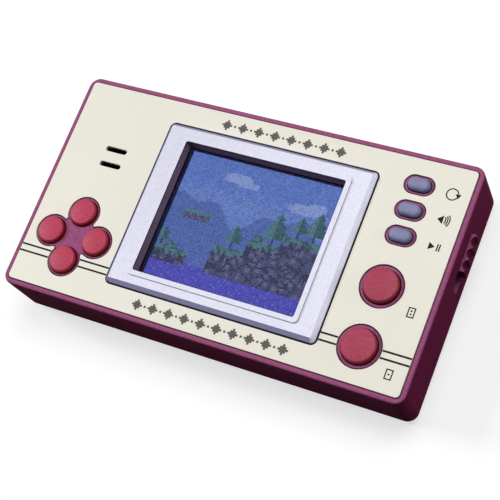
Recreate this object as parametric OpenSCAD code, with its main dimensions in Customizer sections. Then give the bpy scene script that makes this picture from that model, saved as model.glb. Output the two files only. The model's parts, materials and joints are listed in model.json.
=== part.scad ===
// Handheld game console. The origin is the centre of the flat back, +Z comes out of the face,
// +X is the player's right and +Y the top edge of the face. All sizes are in millimetres.

/* [Case] */
// Distance from the case's left side to the direction buttons' well
pad_margin = 3.5; // [3.4:0.1:6]
// Distance from that well to the screen trim
pad_to_trim = 2.3; // [2:0.1:6]
// Distance from the screen trim to an action button's opening
action_to_trim = 4.82; // [4.1:0.02:8]
// Distance from an action button's opening to the case's right side
action_margin = 8.62; // [7.6:0.02:12]
// Depth of the case, from the bottom edge to the top edge
case_d = 59; // [58:1:70]
// Radius of the case's corners, seen from the face
corner_r = 2.8; // [2.8:0.1:4]
// Rounding of the edge round the face
rim_fillet = 0.6; // [0.4:0.1:0.8]
// Rounding of the edge round the back
back_fillet = 2.7; // [2:0.1:2.7]
// Thickness of the side walls
wall = 1.8; // [1.6:0.1:2]
// Thickness of the rear shell's floor
floor_t = 1.8; // [1.7:0.1:2.2]
// Thickness of the front shell behind the face plate
face_wall = 1.8; // [1.4:0.1:2.4]
// Height of the parting line above the back
split_z = 8.9; // [8.6:0.1:9.2]
// Thickness of the tongue that lines up the two shells
tongue_t = 0.8; // [0.6:0.1:0.9]
// Height of that tongue
tongue_h = 1; // [0.6:0.1:1.2]

/* [Face plate] */
// Width of the rim that is left round the plate
rim_w = 1.5; // [1.4:0.1:2]
// Thickness of the plate
plate_t = 0.9; // [0.7:0.1:1.2]
// How far the plate stands above the rim
plate_proud = 0.3; // [0.1:0.1:0.5]
// Corner radius of the plate
plate_r = 1; // [0.8:0.1:2]
// Gap round the plate and round the shell's lands in its cut-outs
plate_gap = 0.3; // [0.15:0.05:0.35]

/* [Screen] */
// Width of the window
window_w = 43.3; // [42:0.1:44]
// Depth of the window
window_d = 35.3; // [34:0.1:36]
// Corner radius of the window
window_r = 0.6; // [0.4:0.1:0.8]
// Width of the trim beside the window
trim_side = 6.45; // [6:0.05:8]
// Width of the trim above and below the window
trim_end = 4.3; // [4:0.05:5.2]
// Corner radius of the trim
bezel_r = 1.2; // [1.1:0.1:1.6]
// Gap between the trim and the plate
trim_gap = 0.4; // [0.2:0.05:0.5]
// Height of the trim's flat above the plate
bezel_rise = 1.4; // [1.2:0.1:2]
// Width of the trim's bevel
bevel_w = 0.95; // [0.6:0.05:1.1]
// Thickness of the trim's flat
bezel_t = 0.8; // [0.6:0.1:1]
// Width of the raised lip round the window
lip_w = 1.25; // [1.1:0.05:1.6]
// Height of that lip above the flat
lip_rise = 0.35; // [0.2:0.05:0.6]
// Thickness of the lip over the shell's collar
lip_t = 0.5; // [0.4:0.05:0.6]
// Thickness of the clear lens
lens_t = 0.8; // [0.6:0.1:1]
// Thickness of the tape that holds the lens
tape_t = 0.25; // [0.15:0.05:0.4]
// Width of the ledge beside the window that the lens is taped to
lens_side = 1.95; // [1.6:0.05:2.2]
// Width of that ledge above and below the window
lens_end = 1.3; // [1.1:0.05:1.5]
// Height of the lens ledge above the plate's seat
lens_rise = 0.3; // [0.1:0.1:0.5]
// Thickness of the display glass
glass_t = 0.9; // [0.7:0.1:1.2]
// Thickness of the light guide
backlight_t = 1.25; // [1:0.05:1.6]
// Thickness of the foam under the light guide
cushion_t = 0.9; // [0.6:0.1:1.2]

/* [Direction buttons] */
// Place of the cross's centre along the face
pad_y = -13.4; // [-13.6:0.1:-12.4]
// Distance from the cross's centre to each button
pad_reach = 6.5; // [6.2:0.1:6.7]
// Radius of each round end of the cross-shaped well
lobe_r = 4.4; // [4.2:0.05:4.5]
// Half the width of the square at the well's middle
cross_half = 4.35; // [4.2:0.05:4.5]
// Radius of a direction cap
pad_cap_r = 3.55; // [3.3:0.05:3.6]
// How far a direction cap stands above the plate
pad_rise = 1.3; // [1.1:0.1:2]

/* [Action buttons] */
// Place of the upper action button along the face
upper_action_y = -4.4; // [-5:0.1:-4]
// Place of the lower action button along the face
lower_action_y = -19.3; // [-19.5:0.1:-18]
// Radius of the plate's opening round an action button
action_hole_r = 5.38; // [5.2:0.02:5.6]
// Radius of an action cap
action_cap_r = 4.3; // [4.1:0.05:4.4]
// How far an action cap stands above the plate
action_rise = 1.6; // [1.2:0.1:2.2]

/* [Menu buttons] */
// Place of the middle menu button along the face
menu_y = 14.9; // [14.4:0.1:15]
// Distance from one menu button to the next
menu_pitch = 6.55; // [6.2:0.05:6.6]
// Length of the plate's opening round a menu button
menu_hole_w = 7.7; // [7.5:0.1:8]
// Width of that opening
menu_hole_d = 5; // [4.8:0.1:5.2]
// Length of a menu cap
menu_cap_w = 5.6; // [5.2:0.1:5.7]
// Width of a menu cap
menu_cap_d = 3.3; // [3:0.1:3.4]
// How far a menu cap stands above the plate
menu_rise = 1.3; // [1:0.1:1.8]

/* [Button mechanism] */
// How far a button goes down
travel = 1; // [0.7:0.1:1.2]
// Clearance round a cap in the shell
cap_gap = 0.2; // [0.15:0.05:0.25]
// Width of the flange that keeps a cap in the shell
flange_w = 0.7; // [0.5:0.05:0.75]
// Thickness of that flange
flange_t = 1; // [0.8:0.1:1.2]
// Rounding of a cap's top edge
cap_edge = 1.1; // [0.6:0.1:1.3]
// Height of the crown of a round cap
cap_crown = 0.3; // [0.1:0.05:0.4]
// Thickness of a rubber sheet
sheet_t = 0.6; // [0.4:0.1:0.8]
// Height of a rubber dome's plunger
plunger_t = 1.1; // [0.9:0.1:1.4]
// Radius of a carbon pill
pill_r = 1.3; // [1:0.1:1.4]
// Thickness of a carbon pill
pill_t = 0.4; // [0.3:0.05:0.6]

/* [Power slider] */
// Place of the slot's middle along the side wall
slot_y = 8.55; // [7:0.05:9]
// How far the slot's middle lies above the parting line
slot_lift = 0.8; // [0.4:0.1:1]
// Length of the knob
knob_len = 9.5; // [9:0.1:10]
// Height of the knob
knob_h = 4.4; // [4:0.1:4.8]
// How far the knob stands out of the wall
knob_out = 1.2; // [1:0.1:1.6]
// How far the knob slides
slide_travel = 4; // [3:0.5:4]
// Radius of a scallop in the knob
scallop_r = 1.3; // [1:0.1:1.4]
// Distance from one scallop to the next
scallop_pitch = 3; // [2.8:0.1:3.2]

/* [Batteries] */
// Diameter of a cell
cell_d = 10.5; // [10:0.1:10.8]
// Length of a cell with its cap
cell_len = 44.5; // [43.5:0.1:45]
// Distance from one cell to the next
cell_pitch = 11.1; // [11:0.05:11.3]
// Room between the outer cells and the bay's walls
cell_room = 0.35; // [0.2:0.05:0.5]
// Free length of a contact spring
spring_len = 5.3; // [4.8:0.1:5.6]
// Radius of the spring's wire
spring_wire_r = 0.35; // [0.3:0.05:0.4]
// Turns of a spring
spring_turns = 3; // [2:0.5:3]
// Thickness of the contact plates
contact_t = 0.5; // [0.4:0.1:0.7]
// Thickness of the bay's walls
bay_wall = 1.2; // [1:0.1:1.3]
// Thickness of the bay's roof
bay_roof = 0.9; // [0.8:0.1:1.2]
// Thickness of the battery door
door_t = 1.35; // [1.3:0.05:1.5]
// Width of the ledge that the door lies on
door_ledge = 1.7; // [1.6:0.1:2]
// Gap round the door
door_gap = 0.2; // [0.15:0.05:0.3]

/* [Board and sound] */
// Thickness of the circuit board
board_t = 1.2; // [1:0.1:1.6]
// Gap between the board's edge and the case's walls
board_gap = 0.95; // [0.6:0.05:1]
// How far the speaker's centre lies to the right of the direction buttons' centre
speaker_shift = 1.25; // [1:0.05:2]
// Place of the speaker along the face
speaker_y = 9.1; // [8.8:0.1:10]
// Radius of the speaker
speaker_r = 8; // [7.5:0.1:8.1]
// Height of the speaker
speaker_t = 4; // [3.8:0.1:4.2]
// Thickness of the speaker's foam ring
gasket_t = 0.5; // [0.4:0.1:0.8]
// Length of a speaker slot
grille_w = 6.1; // [5.5:0.1:7]
// Width of a speaker slot
grille_d = 1.35; // [0.9:0.05:1.6]
// Distance between the speaker slots
grille_pitch = 4.2; // [3.6:0.1:5]
// Radius of the wires' insulation
wire_r = 0.4; // [0.3:0.05:0.5]

/* [Screws] */
// Distance of a case screw from the side of the case
screw_in_x = 6.6; // [6.2:0.1:7]
// Distance of a case screw from the top or bottom of the case
screw_in_y = 6.6; // [6.2:0.1:6.8]
// Radius of a case screw's shank
case_shank_r = 1; // [0.9:0.05:1.1]
// Radius of a case screw's head
case_head_r = 2; // [1.8:0.1:2.1]
// Thickness of a case screw's head
case_head_t = 1.4; // [1:0.1:1.6]
// Length of a case screw under its head
case_screw_len = 9; // [7:0.5:9.5]
// Depth of the screw wells in the back
well_depth = 4.5; // [4:0.1:5]
// Radius of a board screw's shank
board_shank_r = 0.8; // [0.7:0.05:0.9]
// Radius of a board screw's head
board_head_r = 1.6; // [1.4:0.1:1.8]
// Thickness of a board screw's head
board_head_t = 1.2; // [0.8:0.1:1.4]

/* [Hidden] */
$fn = 64;

// Colours of the moulded, printed and metal pieces
burgundy = "#8A3A60";
cream = "#ECE9DD";
lavender = "#D8D8EE";
red = "#B23A50";
grey = "#8788AC";
rubber = "#C9C6BC";
carbon = "#2A2A2E";
steel = "#B9BBC0";
amber = "#B4772F";
wire_red = "#A02828";

// Small overlap of cuts with the faces that they open
cut = 0.5;

// Clearances of fits that the sizes above leave alone
close_gap = 0.1;
screw_gap = 0.05;
free_gap = 0.3;

// Heights, from the back upwards: door, cells, bay, display, lens, face
door_recess = 0.1;
door_top = door_recess + door_t;
cell_lift = 0.2;
cell_z = door_top + cell_lift + cell_d / 2;
bay_ceiling = cell_z + cell_d / 2 + screw_gap;
bay_top = bay_ceiling + bay_roof;
backlight_z = bay_top + cushion_t;
glass_z = backlight_z + backlight_t;
lens_z = glass_z + glass_t + close_gap;
lens_seat = lens_z + lens_t + tape_t;
seat_z = lens_seat - lens_rise;
plate_top = seat_z + plate_t;
case_t = plate_top - plate_proud;
face_in = seat_z - face_wall;
land_sink = 0.2;
land_top = plate_top - land_sink;

// Places across the face, from the left side: well, screen trim, action buttons
bezel_w = window_w + 2 * trim_side;
bezel_d = window_d + 2 * trim_end;
pad_half = pad_reach + lobe_r;
controls_w = action_to_trim + 2 * action_hole_r + action_margin;
case_w = pad_margin + 2 * pad_half + pad_to_trim + bezel_w + controls_w;
pad_x = pad_margin + pad_half - case_w / 2;
screen_x = pad_x + pad_half + pad_to_trim + bezel_w / 2;
action_x = case_w / 2 - action_margin - action_hole_r;
speaker_x = pad_x + speaker_shift;

// Inside of the case
inner_w = case_w - 2 * wall;
inner_d = case_d - 2 * wall;
inner_r = corner_r - wall;
plate_w = case_w - 2 * rim_w;
plate_d = case_d - 2 * rim_w;

// Button stack, from the shell's inner face down to the board
flange_z = face_in - close_gap - flange_t;
plunger_top = flange_z - close_gap;
pill_z = plunger_top - plunger_t - pill_t;
board_top = pill_z - travel - close_gap;
board_z = board_top - board_t;
sheet_over = 0.2;
dome_base_r = 3.2;
dome_top_r = 2;
dome_wall = 0.45;
pad_places = [[0, 1], [0, -1], [-1, 0], [1, 0]];
pad_at = [for (p = pad_places) [pad_x, pad_y] + pad_reach * p];
action_at = [[action_x, upper_action_y], [action_x, lower_action_y]];
menu_at = [for (i = [1, 0, -1]) [action_x, menu_y + i * menu_pitch]];

// Screen pieces
island_gap = 0.2;
skirt_t = 1.9;
bezel_flat = plate_top + bezel_rise;
bevel_foot = 0.05;
bevel_z = plate_top + bevel_foot;
lip_top = bezel_flat + lip_rise;
hollow_w = bezel_w - 2 * skirt_t;
hollow_d = bezel_d - 2 * skirt_t;
hollow_top = bezel_flat - bezel_t;
opening_w = window_w + 2 * island_gap;
opening_d = window_d + 2 * island_gap;
collar_w = 0.6;
collar_room = collar_w + close_gap;
collar_top = lip_top - lip_t - close_gap;
lens_w = window_w + 2 * lens_side;
lens_d = window_d + 2 * lens_end;
pocket_w = lens_w + 2 * island_gap;
pocket_d = lens_d + 2 * island_gap;
guide_w = 1;
guide_z = backlight_z - free_gap;
light_in = 1;
cushion_in = 2;
cushion_w = 4;

// Battery bay, for three cells side by side
cell_count = 3;
spring_gap = 0.1;
bay_len = cell_len + 2 * contact_t + spring_len + 2 * spring_gap;
bay_d = (cell_count - 1) * cell_pitch + cell_d + 2 * cell_room;
bay_x0 = screen_x - bay_len / 2;
bay_x1 = screen_x + bay_len / 2;
bay_out_w = bay_len + 2 * bay_wall;
bay_out_d = bay_d + 2 * bay_wall;
door_w = bay_len + 2 * door_ledge - 2 * door_gap;
door_d = bay_d + 2 * door_ledge - 2 * door_gap;
door_seat = door_top + screw_gap;
ledge_t = 1;
frame_w = 1.5;
tab_w = 6;
tab_out = 1.6;
tab_t = 0.6;
tab_x = door_w / 4;
tongue_w = 12;
scoop_d = 5;
scoop_t = 1;
cell_y = [for (i = [0:cell_count - 1]) (i - (cell_count - 1) / 2) * cell_pitch];
contact_h = 8.6;
contact_w = 8.2;
tag_w = 2;
tag_h = 0.8;
tag_out = 1.4;
nub_r = 1.9;
nub_len = 1;
spring_r = 2.8;

// Flat cable of the display, which passes the bay's wall, and its socket
flex_w = 14;
flex_t = 0.2;
flex_hold = 0.6;
flex_y = max(lens_d / 2 - flex_t, bay_out_d / 2 + free_gap);
flex_run = 1.8;
connector_d = 3;
connector_t = 1.5;
connector_side = 1;
connector_y = flex_y + flex_t + flex_run;

// Power slider and its switch
slot_gap = 0.2;
slot_len = knob_len + slide_travel + 4 * slot_gap;
slot_h = knob_h + 2 * slot_gap;
slot_z = split_z + slot_lift;
knob_y = slot_y + slide_travel / 2;
slider_t = 1.1;
slider_spare = 1.2;
slider_over = 1;
slider_len = knob_len + 2 * (slide_travel + slider_spare);
slider_h = slot_h + 2 * slider_over;
slider_x = inner_w / 2 - slot_gap - slider_t;
lever_w = 2;
lever_h = 1.6;
switch_d = 10;
switch_w = 3.7;
lever_reach = 1;
switch_x = slider_x - lever_reach - switch_w;
switch_drop = 2.2;
switch_z = split_z - switch_drop;
notch_x = slider_x - free_gap - slot_gap;
notch_d = slider_len + slide_travel + 2 * (free_gap + slot_gap);
keeper_t = 0.9;
keeper_d = 2;
keeper_y = switch_d / 2 + keeper_d;

// Screws and their posts
boss_r = 2.5;
post_r = 2.9;
screw_x = case_w / 2 - screw_in_x;
screw_y = case_d / 2 - screw_in_y;
screw_at = [for (sx = [-1, 1], sy = [-1, 1]) [sx * screw_x, sy * screw_y]];
head_gap = 0.4;
well_r = case_head_r + head_gap;
standoff_r = 2.4;
standoff_left = 2.35;
standoff_right = 3.45;
standoff_in = 3.7;
standoff_x0 = bay_x0 - standoff_left;
standoff_x1 = bay_x1 + standoff_right;
standoff_y = inner_d / 2 - standoff_in;
standoff_at = [for (x = [standoff_x0, standoff_x1], s = [-1, 1]) [x, s * standoff_y]];
recess_w = 0.5;

// Speaker: basket, magnet and cone, with heights from its back
speaker_z = face_in - gasket_t - speaker_t;
speaker_ring_t = 0.8;
speaker_bore = speaker_r + slot_gap;
speaker_rim = 1;
gasket_w = 1.9;
magnet_r = 5;
magnet_t = 1.4;
basket_in = 0.4;
basket_z = 2.6;
basket_floor = 1.9;
cone_sink = 0.7;
cone_seat = speaker_t - cone_sink;
cone_edge = 0.6;
cone_t = 0.25;
coil_former_r = 2.4;
coil_former_z = 2.25;
dust_cap_h = 0.35;

// Chips on the board's lower strip, each with its distance from the middle of the screen
memory_w = 4;
memory_d = 5;
memory_t = 1.1;
memory_x = -9;
driver_w = 3;
driver_t = 0.9;
driver_x = 7.5;
crystal_w = 3.2;
crystal_d = 1.6;
crystal_t = 0.6;
crystal_x = 12.5;
blob_r = 3.4;
blob_h = 1.2;

// Two-dimensional outlines

module rounded_rect(w, d, r) {
  square([w - 2 * r, d], center = true);
  square([w, d - 2 * r], center = true);
  for (sx = [-1, 1], sy = [-1, 1])
    translate([sx * (w / 2 - r), sy * (d / 2 - r)]) circle(r);
}

module stadium(w, d) {
  square([w - d, d], center = true);
  for (s = [-1, 1])
    translate([s * (w - d) / 2, 0]) circle(d / 2);
}

module corner_waste(r) {
  difference() {
    square(2 * r);
    circle(r);
  }
}

// Half of a slab's section, with its outer corners rounded below and above
module edge_section(reach, h, low_r, high_r) {
  difference() {
    square([reach, h]);
    if (high_r > 0) translate([reach - high_r, h - high_r]) corner_waste(high_r);
    if (low_r > 0) translate([reach - low_r, low_r]) mirror([0, 1]) corner_waste(low_r);
  }
}

module full_section(span, h, low_r, high_r) {
  edge_section(span / 2, h, low_r, high_r);
  mirror([1, 0]) edge_section(span / 2, h, low_r, high_r);
}

module cross_outline(inset) {
  square(2 * (cross_half - inset), center = true);
  for (p = pad_places)
    translate(pad_reach * p) circle(lobe_r - inset);
}

// Solids that several pieces share

module slab(w, d, h, r) {
  linear_extrude(h) rounded_rect(w, d, r);
}

module filleted_slab(w, d, h, r, low_r, high_r) {
  for (sx = [-1, 1], sy = [-1, 1])
    translate([sx * (w / 2 - r), sy * (d / 2 - r), 0]) rotate_extrude() edge_section(r, h, low_r, high_r);
  translate([r - w / 2, 0, 0]) rotate([90, 0, 90])
    linear_extrude(w - 2 * r) full_section(d, h, low_r, high_r);
  translate([0, d / 2 - r, 0]) rotate([90, 0, 0])
    linear_extrude(d - 2 * r) full_section(w, h, low_r, high_r);
}

module filleted_stadium(w, d, h, high_r) {
  for (s = [-1, 1])
    translate([s * (w - d) / 2, 0, 0]) rotate_extrude() edge_section(d / 2, h, 0, high_r);
  translate([(d - w) / 2, 0, 0]) rotate([90, 0, 90]) linear_extrude(w - d) full_section(d, h, 0, high_r);
}

// A plain box from its lowest corner to its highest
module box(low, high) {
  translate(low) cube(high - low);
}

module rod(at, z0, z1, r) {
  translate([at.x, at.y, z0]) cylinder(h = z1 - z0, r = r);
}

// Round tubes along a path

function unit(v) = v / norm(v);
function heading(p, i) = unit(p[min(i + 1, len(p) - 1)] - p[max(i - 1, 0)]);
function carried(v, t) = unit(v - (v * t) * t);
function sides(p, v, i = 0) =
  i == len(p) ? [] : let (s = carried(v, heading(p, i))) concat([s], sides(p, s, i + 1));

module tube(path, r, n, first_side) {
  side = sides(path, first_side);
  last = (len(path) - 1) * n;
  points = [
    for (i = [0:len(path) - 1], k = [0:n - 1])
      let (a = 360 * k / n, up = cross(heading(path, i), side[i]))
        path[i] + r * (cos(a) * side[i] + sin(a) * up)
  ];
  skin = [
    for (i = [0:len(path) - 2], k = [0:n - 1])
      let (k1 = (k + 1) % n, b = i * n, t = b + n)
        each [[b + k, t + k, t + k1], [b + k, t + k1, b + k1]]
  ];
  ends = [for (k = [1:n - 2]) each [[0, k, k + 1], [last, last + k + 1, last + k]]];
  polyhedron(points, concat(skin, ends));
}

// Case

module pad_holes() {
  for (p = pad_at)
    rod(p, face_in - cut, plate_top, pad_cap_r + cap_gap);
}

module action_holes() {
  for (p = action_at)
    rod(p, face_in - cut, plate_top, action_cap_r + cap_gap);
}

module menu_holes() {
  for (p = menu_at)
    translate([p.x, p.y, face_in - cut]) linear_extrude(plate_top - face_in + cut)
      stadium(menu_cap_w + 2 * cap_gap, menu_cap_d + 2 * cap_gap);
}

module grille_slots(z0, z1) {
  for (s = [-1, 1])
    translate([speaker_x, speaker_y + s * grille_pitch / 2, z0])
      linear_extrude(z1 - z0) stadium(grille_w, grille_d);
}

// Lands that fill the plate's openings round the buttons
module lands() {
  height = land_top - seat_z + cut;
  translate([0, 0, seat_z - cut]) {
    translate([pad_x, pad_y, 0]) linear_extrude(height) cross_outline(plate_gap);
    for (p = action_at)
      translate(p) cylinder(h = height, r = action_hole_r - plate_gap);
    for (p = menu_at)
      translate(p) linear_extrude(height) stadium(menu_hole_w - 2 * plate_gap, menu_hole_d - 2 * plate_gap);
  }
}

// Raised frame under the screen trim, with the thin collar that lines the window
module screen_island() {
  translate([screen_x, 0, seat_z - cut]) {
    linear_extrude(hollow_top - close_gap - seat_z + cut)
      square([hollow_w - 2 * island_gap, hollow_d - 2 * island_gap], center = true);
    linear_extrude(collar_top - seat_z + cut)
      square([opening_w + 2 * collar_w, opening_d + 2 * collar_w], center = true);
  }
}

// Wall round the display on the shell's inner side, open at the top for the flat cable
module display_guide() {
  difference() {
    translate([screen_x, 0, guide_z]) linear_extrude(face_in - guide_z + cut)
      square([pocket_w + 2 * guide_w, pocket_d + 2 * guide_w], center = true);
    translate([screen_x, pocket_d / 2, guide_z])
      cube([flex_w + 2 * connector_side, 4 * guide_w, 2 * (face_in - guide_z)], center = true);
  }
}

// Way for the flat cable out of the display's pocket
module cable_way() {
  half = flex_w / 2 + close_gap;
  translate([screen_x, 0, guide_z - cut])
    box([-half, 0, 0], [half, flex_y + flex_t + close_gap, glass_z - guide_z + close_gap + cut]);
}

module slot_cut() {
  x = inner_w / 2 - cut;
  translate([x, slot_y - slot_len / 2, slot_z - slot_h / 2]) cube([wall + 2 * cut, slot_len, slot_h]);
}

module front_shell() {
  color(burgundy) difference() {
    union() {
      difference() {
        translate([0, 0, split_z]) filleted_slab(case_w, case_d, case_t - split_z, corner_r, 0, rim_fillet);
        translate([0, 0, split_z - cut]) slab(inner_w, inner_d, face_in - split_z + cut, inner_r);
        translate([0, 0, split_z - cut])
          slab(
            inner_w + 2 * (tongue_t + close_gap), inner_d + 2 * (tongue_t + close_gap),
            tongue_h + close_gap + cut, inner_r + tongue_t + close_gap
          );
        translate([0, 0, seat_z])
          slab(plate_w + 2 * plate_gap, plate_d + 2 * plate_gap, plate_t + cut, plate_r + plate_gap);
      }
      lands();
      screen_island();
      display_guide();
      for (p = screw_at)
        rod(p, split_z, face_in + cut, boss_r);
      for (p = standoff_at)
        rod(p, board_top, face_in + cut, standoff_r);
      rod([speaker_x, speaker_y], board_top + free_gap, face_in + cut, speaker_bore + speaker_ring_t);
    }
    pad_holes();
    action_holes();
    menu_holes();
    grille_slots(face_in - cut, seat_z + cut);
    translate([screen_x, 0, face_in - cut]) linear_extrude(lip_top - face_in)
      square([opening_w, opening_d], center = true);
    translate([screen_x, 0, guide_z - cut]) linear_extrude(lens_seat - guide_z + cut)
      square([pocket_w, pocket_d], center = true);
    cable_way();
    for (p = screw_at)
      rod(p, split_z - cut, well_depth + case_screw_len + 2 * free_gap, case_shank_r + screw_gap);
    for (p = standoff_at)
      rod(p, board_top - cut, face_in, board_shank_r + screw_gap);
    rod([speaker_x, speaker_y], board_top, face_in, speaker_bore);
    slot_cut();
  }
}

// Openings of the door's tabs in the back and in the bay's top wall
module tab_windows() {
  half = tab_w / 2 + door_gap;
  y1 = door_d / 2 + tab_out + 2 * door_gap;
  z0 = door_top - tab_t - door_gap;
  z1 = door_seat + ledge_t + tab_t + door_gap;
  for (s = [-1, 1])
    translate([screen_x + s * tab_x, 0, 0]) box([-half, bay_d / 2 - cut, z0], [half, y1, z1]);
}

// Slots in the bay's end walls for the tags of the two end contacts
module tag_slots() {
  for (s = [-1, 1])
    translate([screen_x + s * (bay_len + bay_wall) / 2, s * cell_y[cell_count - 1], cell_z])
      cube([bay_wall + 2 * cut, tag_w + 2 * close_gap, tag_h + 2 * close_gap], center = true);
}

module thumb_scoop() {
  translate([screen_x, -door_d / 2 - door_gap, -cut])
    linear_extrude(cut + scoop_t) stadium(tongue_w, scoop_d);
}

module rear_shell() {
  color(burgundy) difference() {
    union() {
      difference() {
        filleted_slab(case_w, case_d, split_z, corner_r, back_fillet, 0);
        translate([0, 0, floor_t])
          filleted_slab(inner_w, inner_d, split_z - floor_t + cut, inner_r, back_fillet - wall, 0);
      }
      difference() {
        translate([0, 0, split_z - 2 * tongue_h])
          slab(inner_w + 2 * tongue_t, inner_d + 2 * tongue_t, 3 * tongue_h, inner_r + tongue_t);
        translate([0, 0, split_z - 2 * tongue_h - cut])
          slab(inner_w, inner_d, 3 * tongue_h + 2 * cut, inner_r);
      }
      translate([screen_x, 0, floor_t - cut])
        linear_extrude(bay_top - floor_t + cut) square([bay_out_w, bay_out_d], center = true);
      translate([screen_x, 0, floor_t - cut]) linear_extrude(door_seat + ledge_t - floor_t + cut)
        square([door_w + 2 * frame_w, door_d + 2 * frame_w], center = true);
      for (p = screw_at)
        rod(p, floor_t - cut, split_z, post_r);
      for (s = [-1, 1])
        translate([slider_x - close_gap - keeper_t, slot_y + s * keeper_y - keeper_d / 2, floor_t - cut])
          cube([keeper_t, keeper_d, board_z - close_gap - floor_t + cut]);
    }
    translate([screen_x, 0, -cut]) linear_extrude(door_seat + cut)
      square([door_w + 2 * door_gap, door_d + 2 * door_gap], center = true);
    translate([screen_x, 0, 0]) linear_extrude(bay_ceiling) square([bay_len, bay_d], center = true);
    tab_windows();
    tag_slots();
    thumb_scoop();
    for (p = screw_at) {
      rod(p, -cut, well_depth, well_r);
      rod(p, 0, split_z + cut, case_shank_r + 2 * close_gap);
    }
    slot_cut();
  }
}

module face_plate() {
  color(cream) translate([0, 0, seat_z]) linear_extrude(plate_t) difference() {
    rounded_rect(plate_w, plate_d, plate_r);
    translate([pad_x, pad_y]) cross_outline(0);
    for (p = action_at)
      translate(p) circle(action_hole_r);
    for (p = menu_at)
      translate(p) stadium(menu_hole_w, menu_hole_d);
    translate([screen_x, 0])
      rounded_rect(bezel_w + 2 * trim_gap, bezel_d + 2 * trim_gap, bezel_r + trim_gap);
    for (s = [-1, 1])
      translate([speaker_x, speaker_y + s * grille_pitch / 2]) stadium(grille_w, grille_d);
  }
}

// Screen

// Half of the trim's section: straight at the foot, then bevelled up to the flat
module bevel_section(reach) {
  rise = bezel_flat - seat_z;
  polygon([[0, 0], [reach, 0], [reach, bevel_z - seat_z], [reach - bevel_w, rise], [0, rise]]);
}

module bezel_block() {
  x = bezel_w / 2 - bezel_r;
  y = bezel_d / 2 - bezel_r;
  translate([0, 0, seat_z]) {
    for (sx = [-1, 1], sy = [-1, 1])
      translate([sx * x, sy * y, 0]) rotate_extrude() bevel_section(bezel_r);
    for (m = [0, 1]) {
      mirror([0, m, 0]) translate([-x, 0, 0]) rotate([90, 0, 90])
        linear_extrude(2 * x) bevel_section(bezel_d / 2);
      mirror([m, 0, 0]) translate([0, y, 0]) rotate([90, 0, 0])
        linear_extrude(2 * y) bevel_section(bezel_w / 2);
    }
  }
  translate([0, 0, bezel_flat - cut])
    slab(window_w + 2 * lip_w, window_d + 2 * lip_w, lip_rise + cut, bezel_r);
}

module screen_bezel() {
  color(lavender) translate([screen_x, 0, 0]) difference() {
    bezel_block();
    translate([0, 0, seat_z - cut]) linear_extrude(hollow_top - seat_z + cut)
      square([hollow_w, hollow_d], center = true);
    translate([0, 0, seat_z - cut]) linear_extrude(lip_top - lip_t - seat_z + cut)
      square([opening_w + 2 * collar_room, opening_d + 2 * collar_room], center = true);
    translate([0, 0, seat_z]) slab(window_w, window_d, lip_top - seat_z + cut, window_r);
  }
}

module screen_lens() {
  color("#DDE3EA") translate([screen_x, 0, lens_z]) slab(lens_w, lens_d, lens_t, window_r);
}

module lens_tape() {
  color(carbon) translate([screen_x, 0, lens_z + lens_t]) linear_extrude(tape_t) difference() {
    rounded_rect(lens_w, lens_d, window_r);
    square([opening_w + 2 * close_gap, opening_d + 2 * close_gap], center = true);
  }
}

module lcd_glass() {
  color("#5B6FB0") translate([screen_x, 0, glass_z]) slab(lens_w, lens_d, glass_t, window_r);
}

module lcd_backlight() {
  color("#E8EBEF") translate([screen_x, 0, backlight_z])
    slab(lens_w - 2 * light_in, lens_d - 2 * light_in, backlight_t, window_r);
}

module lcd_cushion() {
  color(carbon) translate([screen_x, 0, bay_top]) linear_extrude(cushion_t) difference() {
    rounded_rect(lens_w - 2 * cushion_in, lens_d - 2 * cushion_in, window_r);
    rounded_rect(lens_w - 2 * (cushion_in + cushion_w), lens_d - 2 * (cushion_in + cushion_w), window_r);
  }
}

// Flat cable: out from under the glass, down past the bay's wall, then across into the socket
module lcd_flex() {
  start = lens_d / 2 - flex_hold;
  low = board_top + connector_t / 2;
  color(amber) translate([screen_x - flex_w / 2, 0, 0]) rotate([90, 0, 90]) linear_extrude(flex_w) polygon([
    [start, glass_z], [start, glass_z - flex_t], [flex_y, glass_z - flex_t],
    [flex_y, low], [connector_y, low], [connector_y, low + flex_t],
    [flex_y + flex_t, low + flex_t], [flex_y + flex_t, glass_z]
  ]);
}

module lcd_connector() {
  color(cream) difference() {
    box(
      [screen_x - flex_w / 2 - connector_side, connector_y, board_top],
      [screen_x + flex_w / 2 + connector_side, connector_y + connector_d, board_top + connector_t]
    );
    translate([screen_x, connector_y + connector_d, board_top + connector_t])
      cube([flex_w - connector_side, connector_d, connector_t / 2], center = true);
  }
}

// Buttons

module round_button(at, cap_r, rise) {
  height = plate_top + rise - flange_z;
  crown_r = (cap_r * cap_r + cap_crown * cap_crown) / (2 * cap_crown);
  color(red) translate([at.x, at.y, flange_z]) rotate_extrude() union() {
    square([cap_r + flange_w, flange_t]);
    intersection() {
      edge_section(cap_r, height, 0, cap_edge);
      translate([0, height - crown_r]) circle(crown_r, $fn = 256);
    }
  }
}

module menu_button(at) {
  color(grey) translate([at.x, at.y, flange_z]) {
    linear_extrude(flange_t) stadium(menu_cap_w + 2 * flange_w, menu_cap_d + 2 * flange_w);
    filleted_stadium(menu_cap_w, menu_cap_d, plate_top + menu_rise - flange_z, cap_edge);
  }
}

module pill(at) {
  color(carbon) rod(at, pill_z, pill_z + pill_t, pill_r);
}

// Hollow cone of a rubber dome with its solid plunger
module dome(at) {
  roof = pill_z + pill_t;
  foot = board_top + sheet_t;
  translate([at.x, at.y, 0]) rotate_extrude() polygon([
    [0, roof], [dome_top_r - dome_wall, roof],
    [dome_base_r - dome_wall, board_top], [dome_base_r, board_top], [dome_base_r, foot],
    [dome_top_r, roof + dome_wall], [dome_top_r, plunger_top], [0, plunger_top]
  ]);
}

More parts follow.
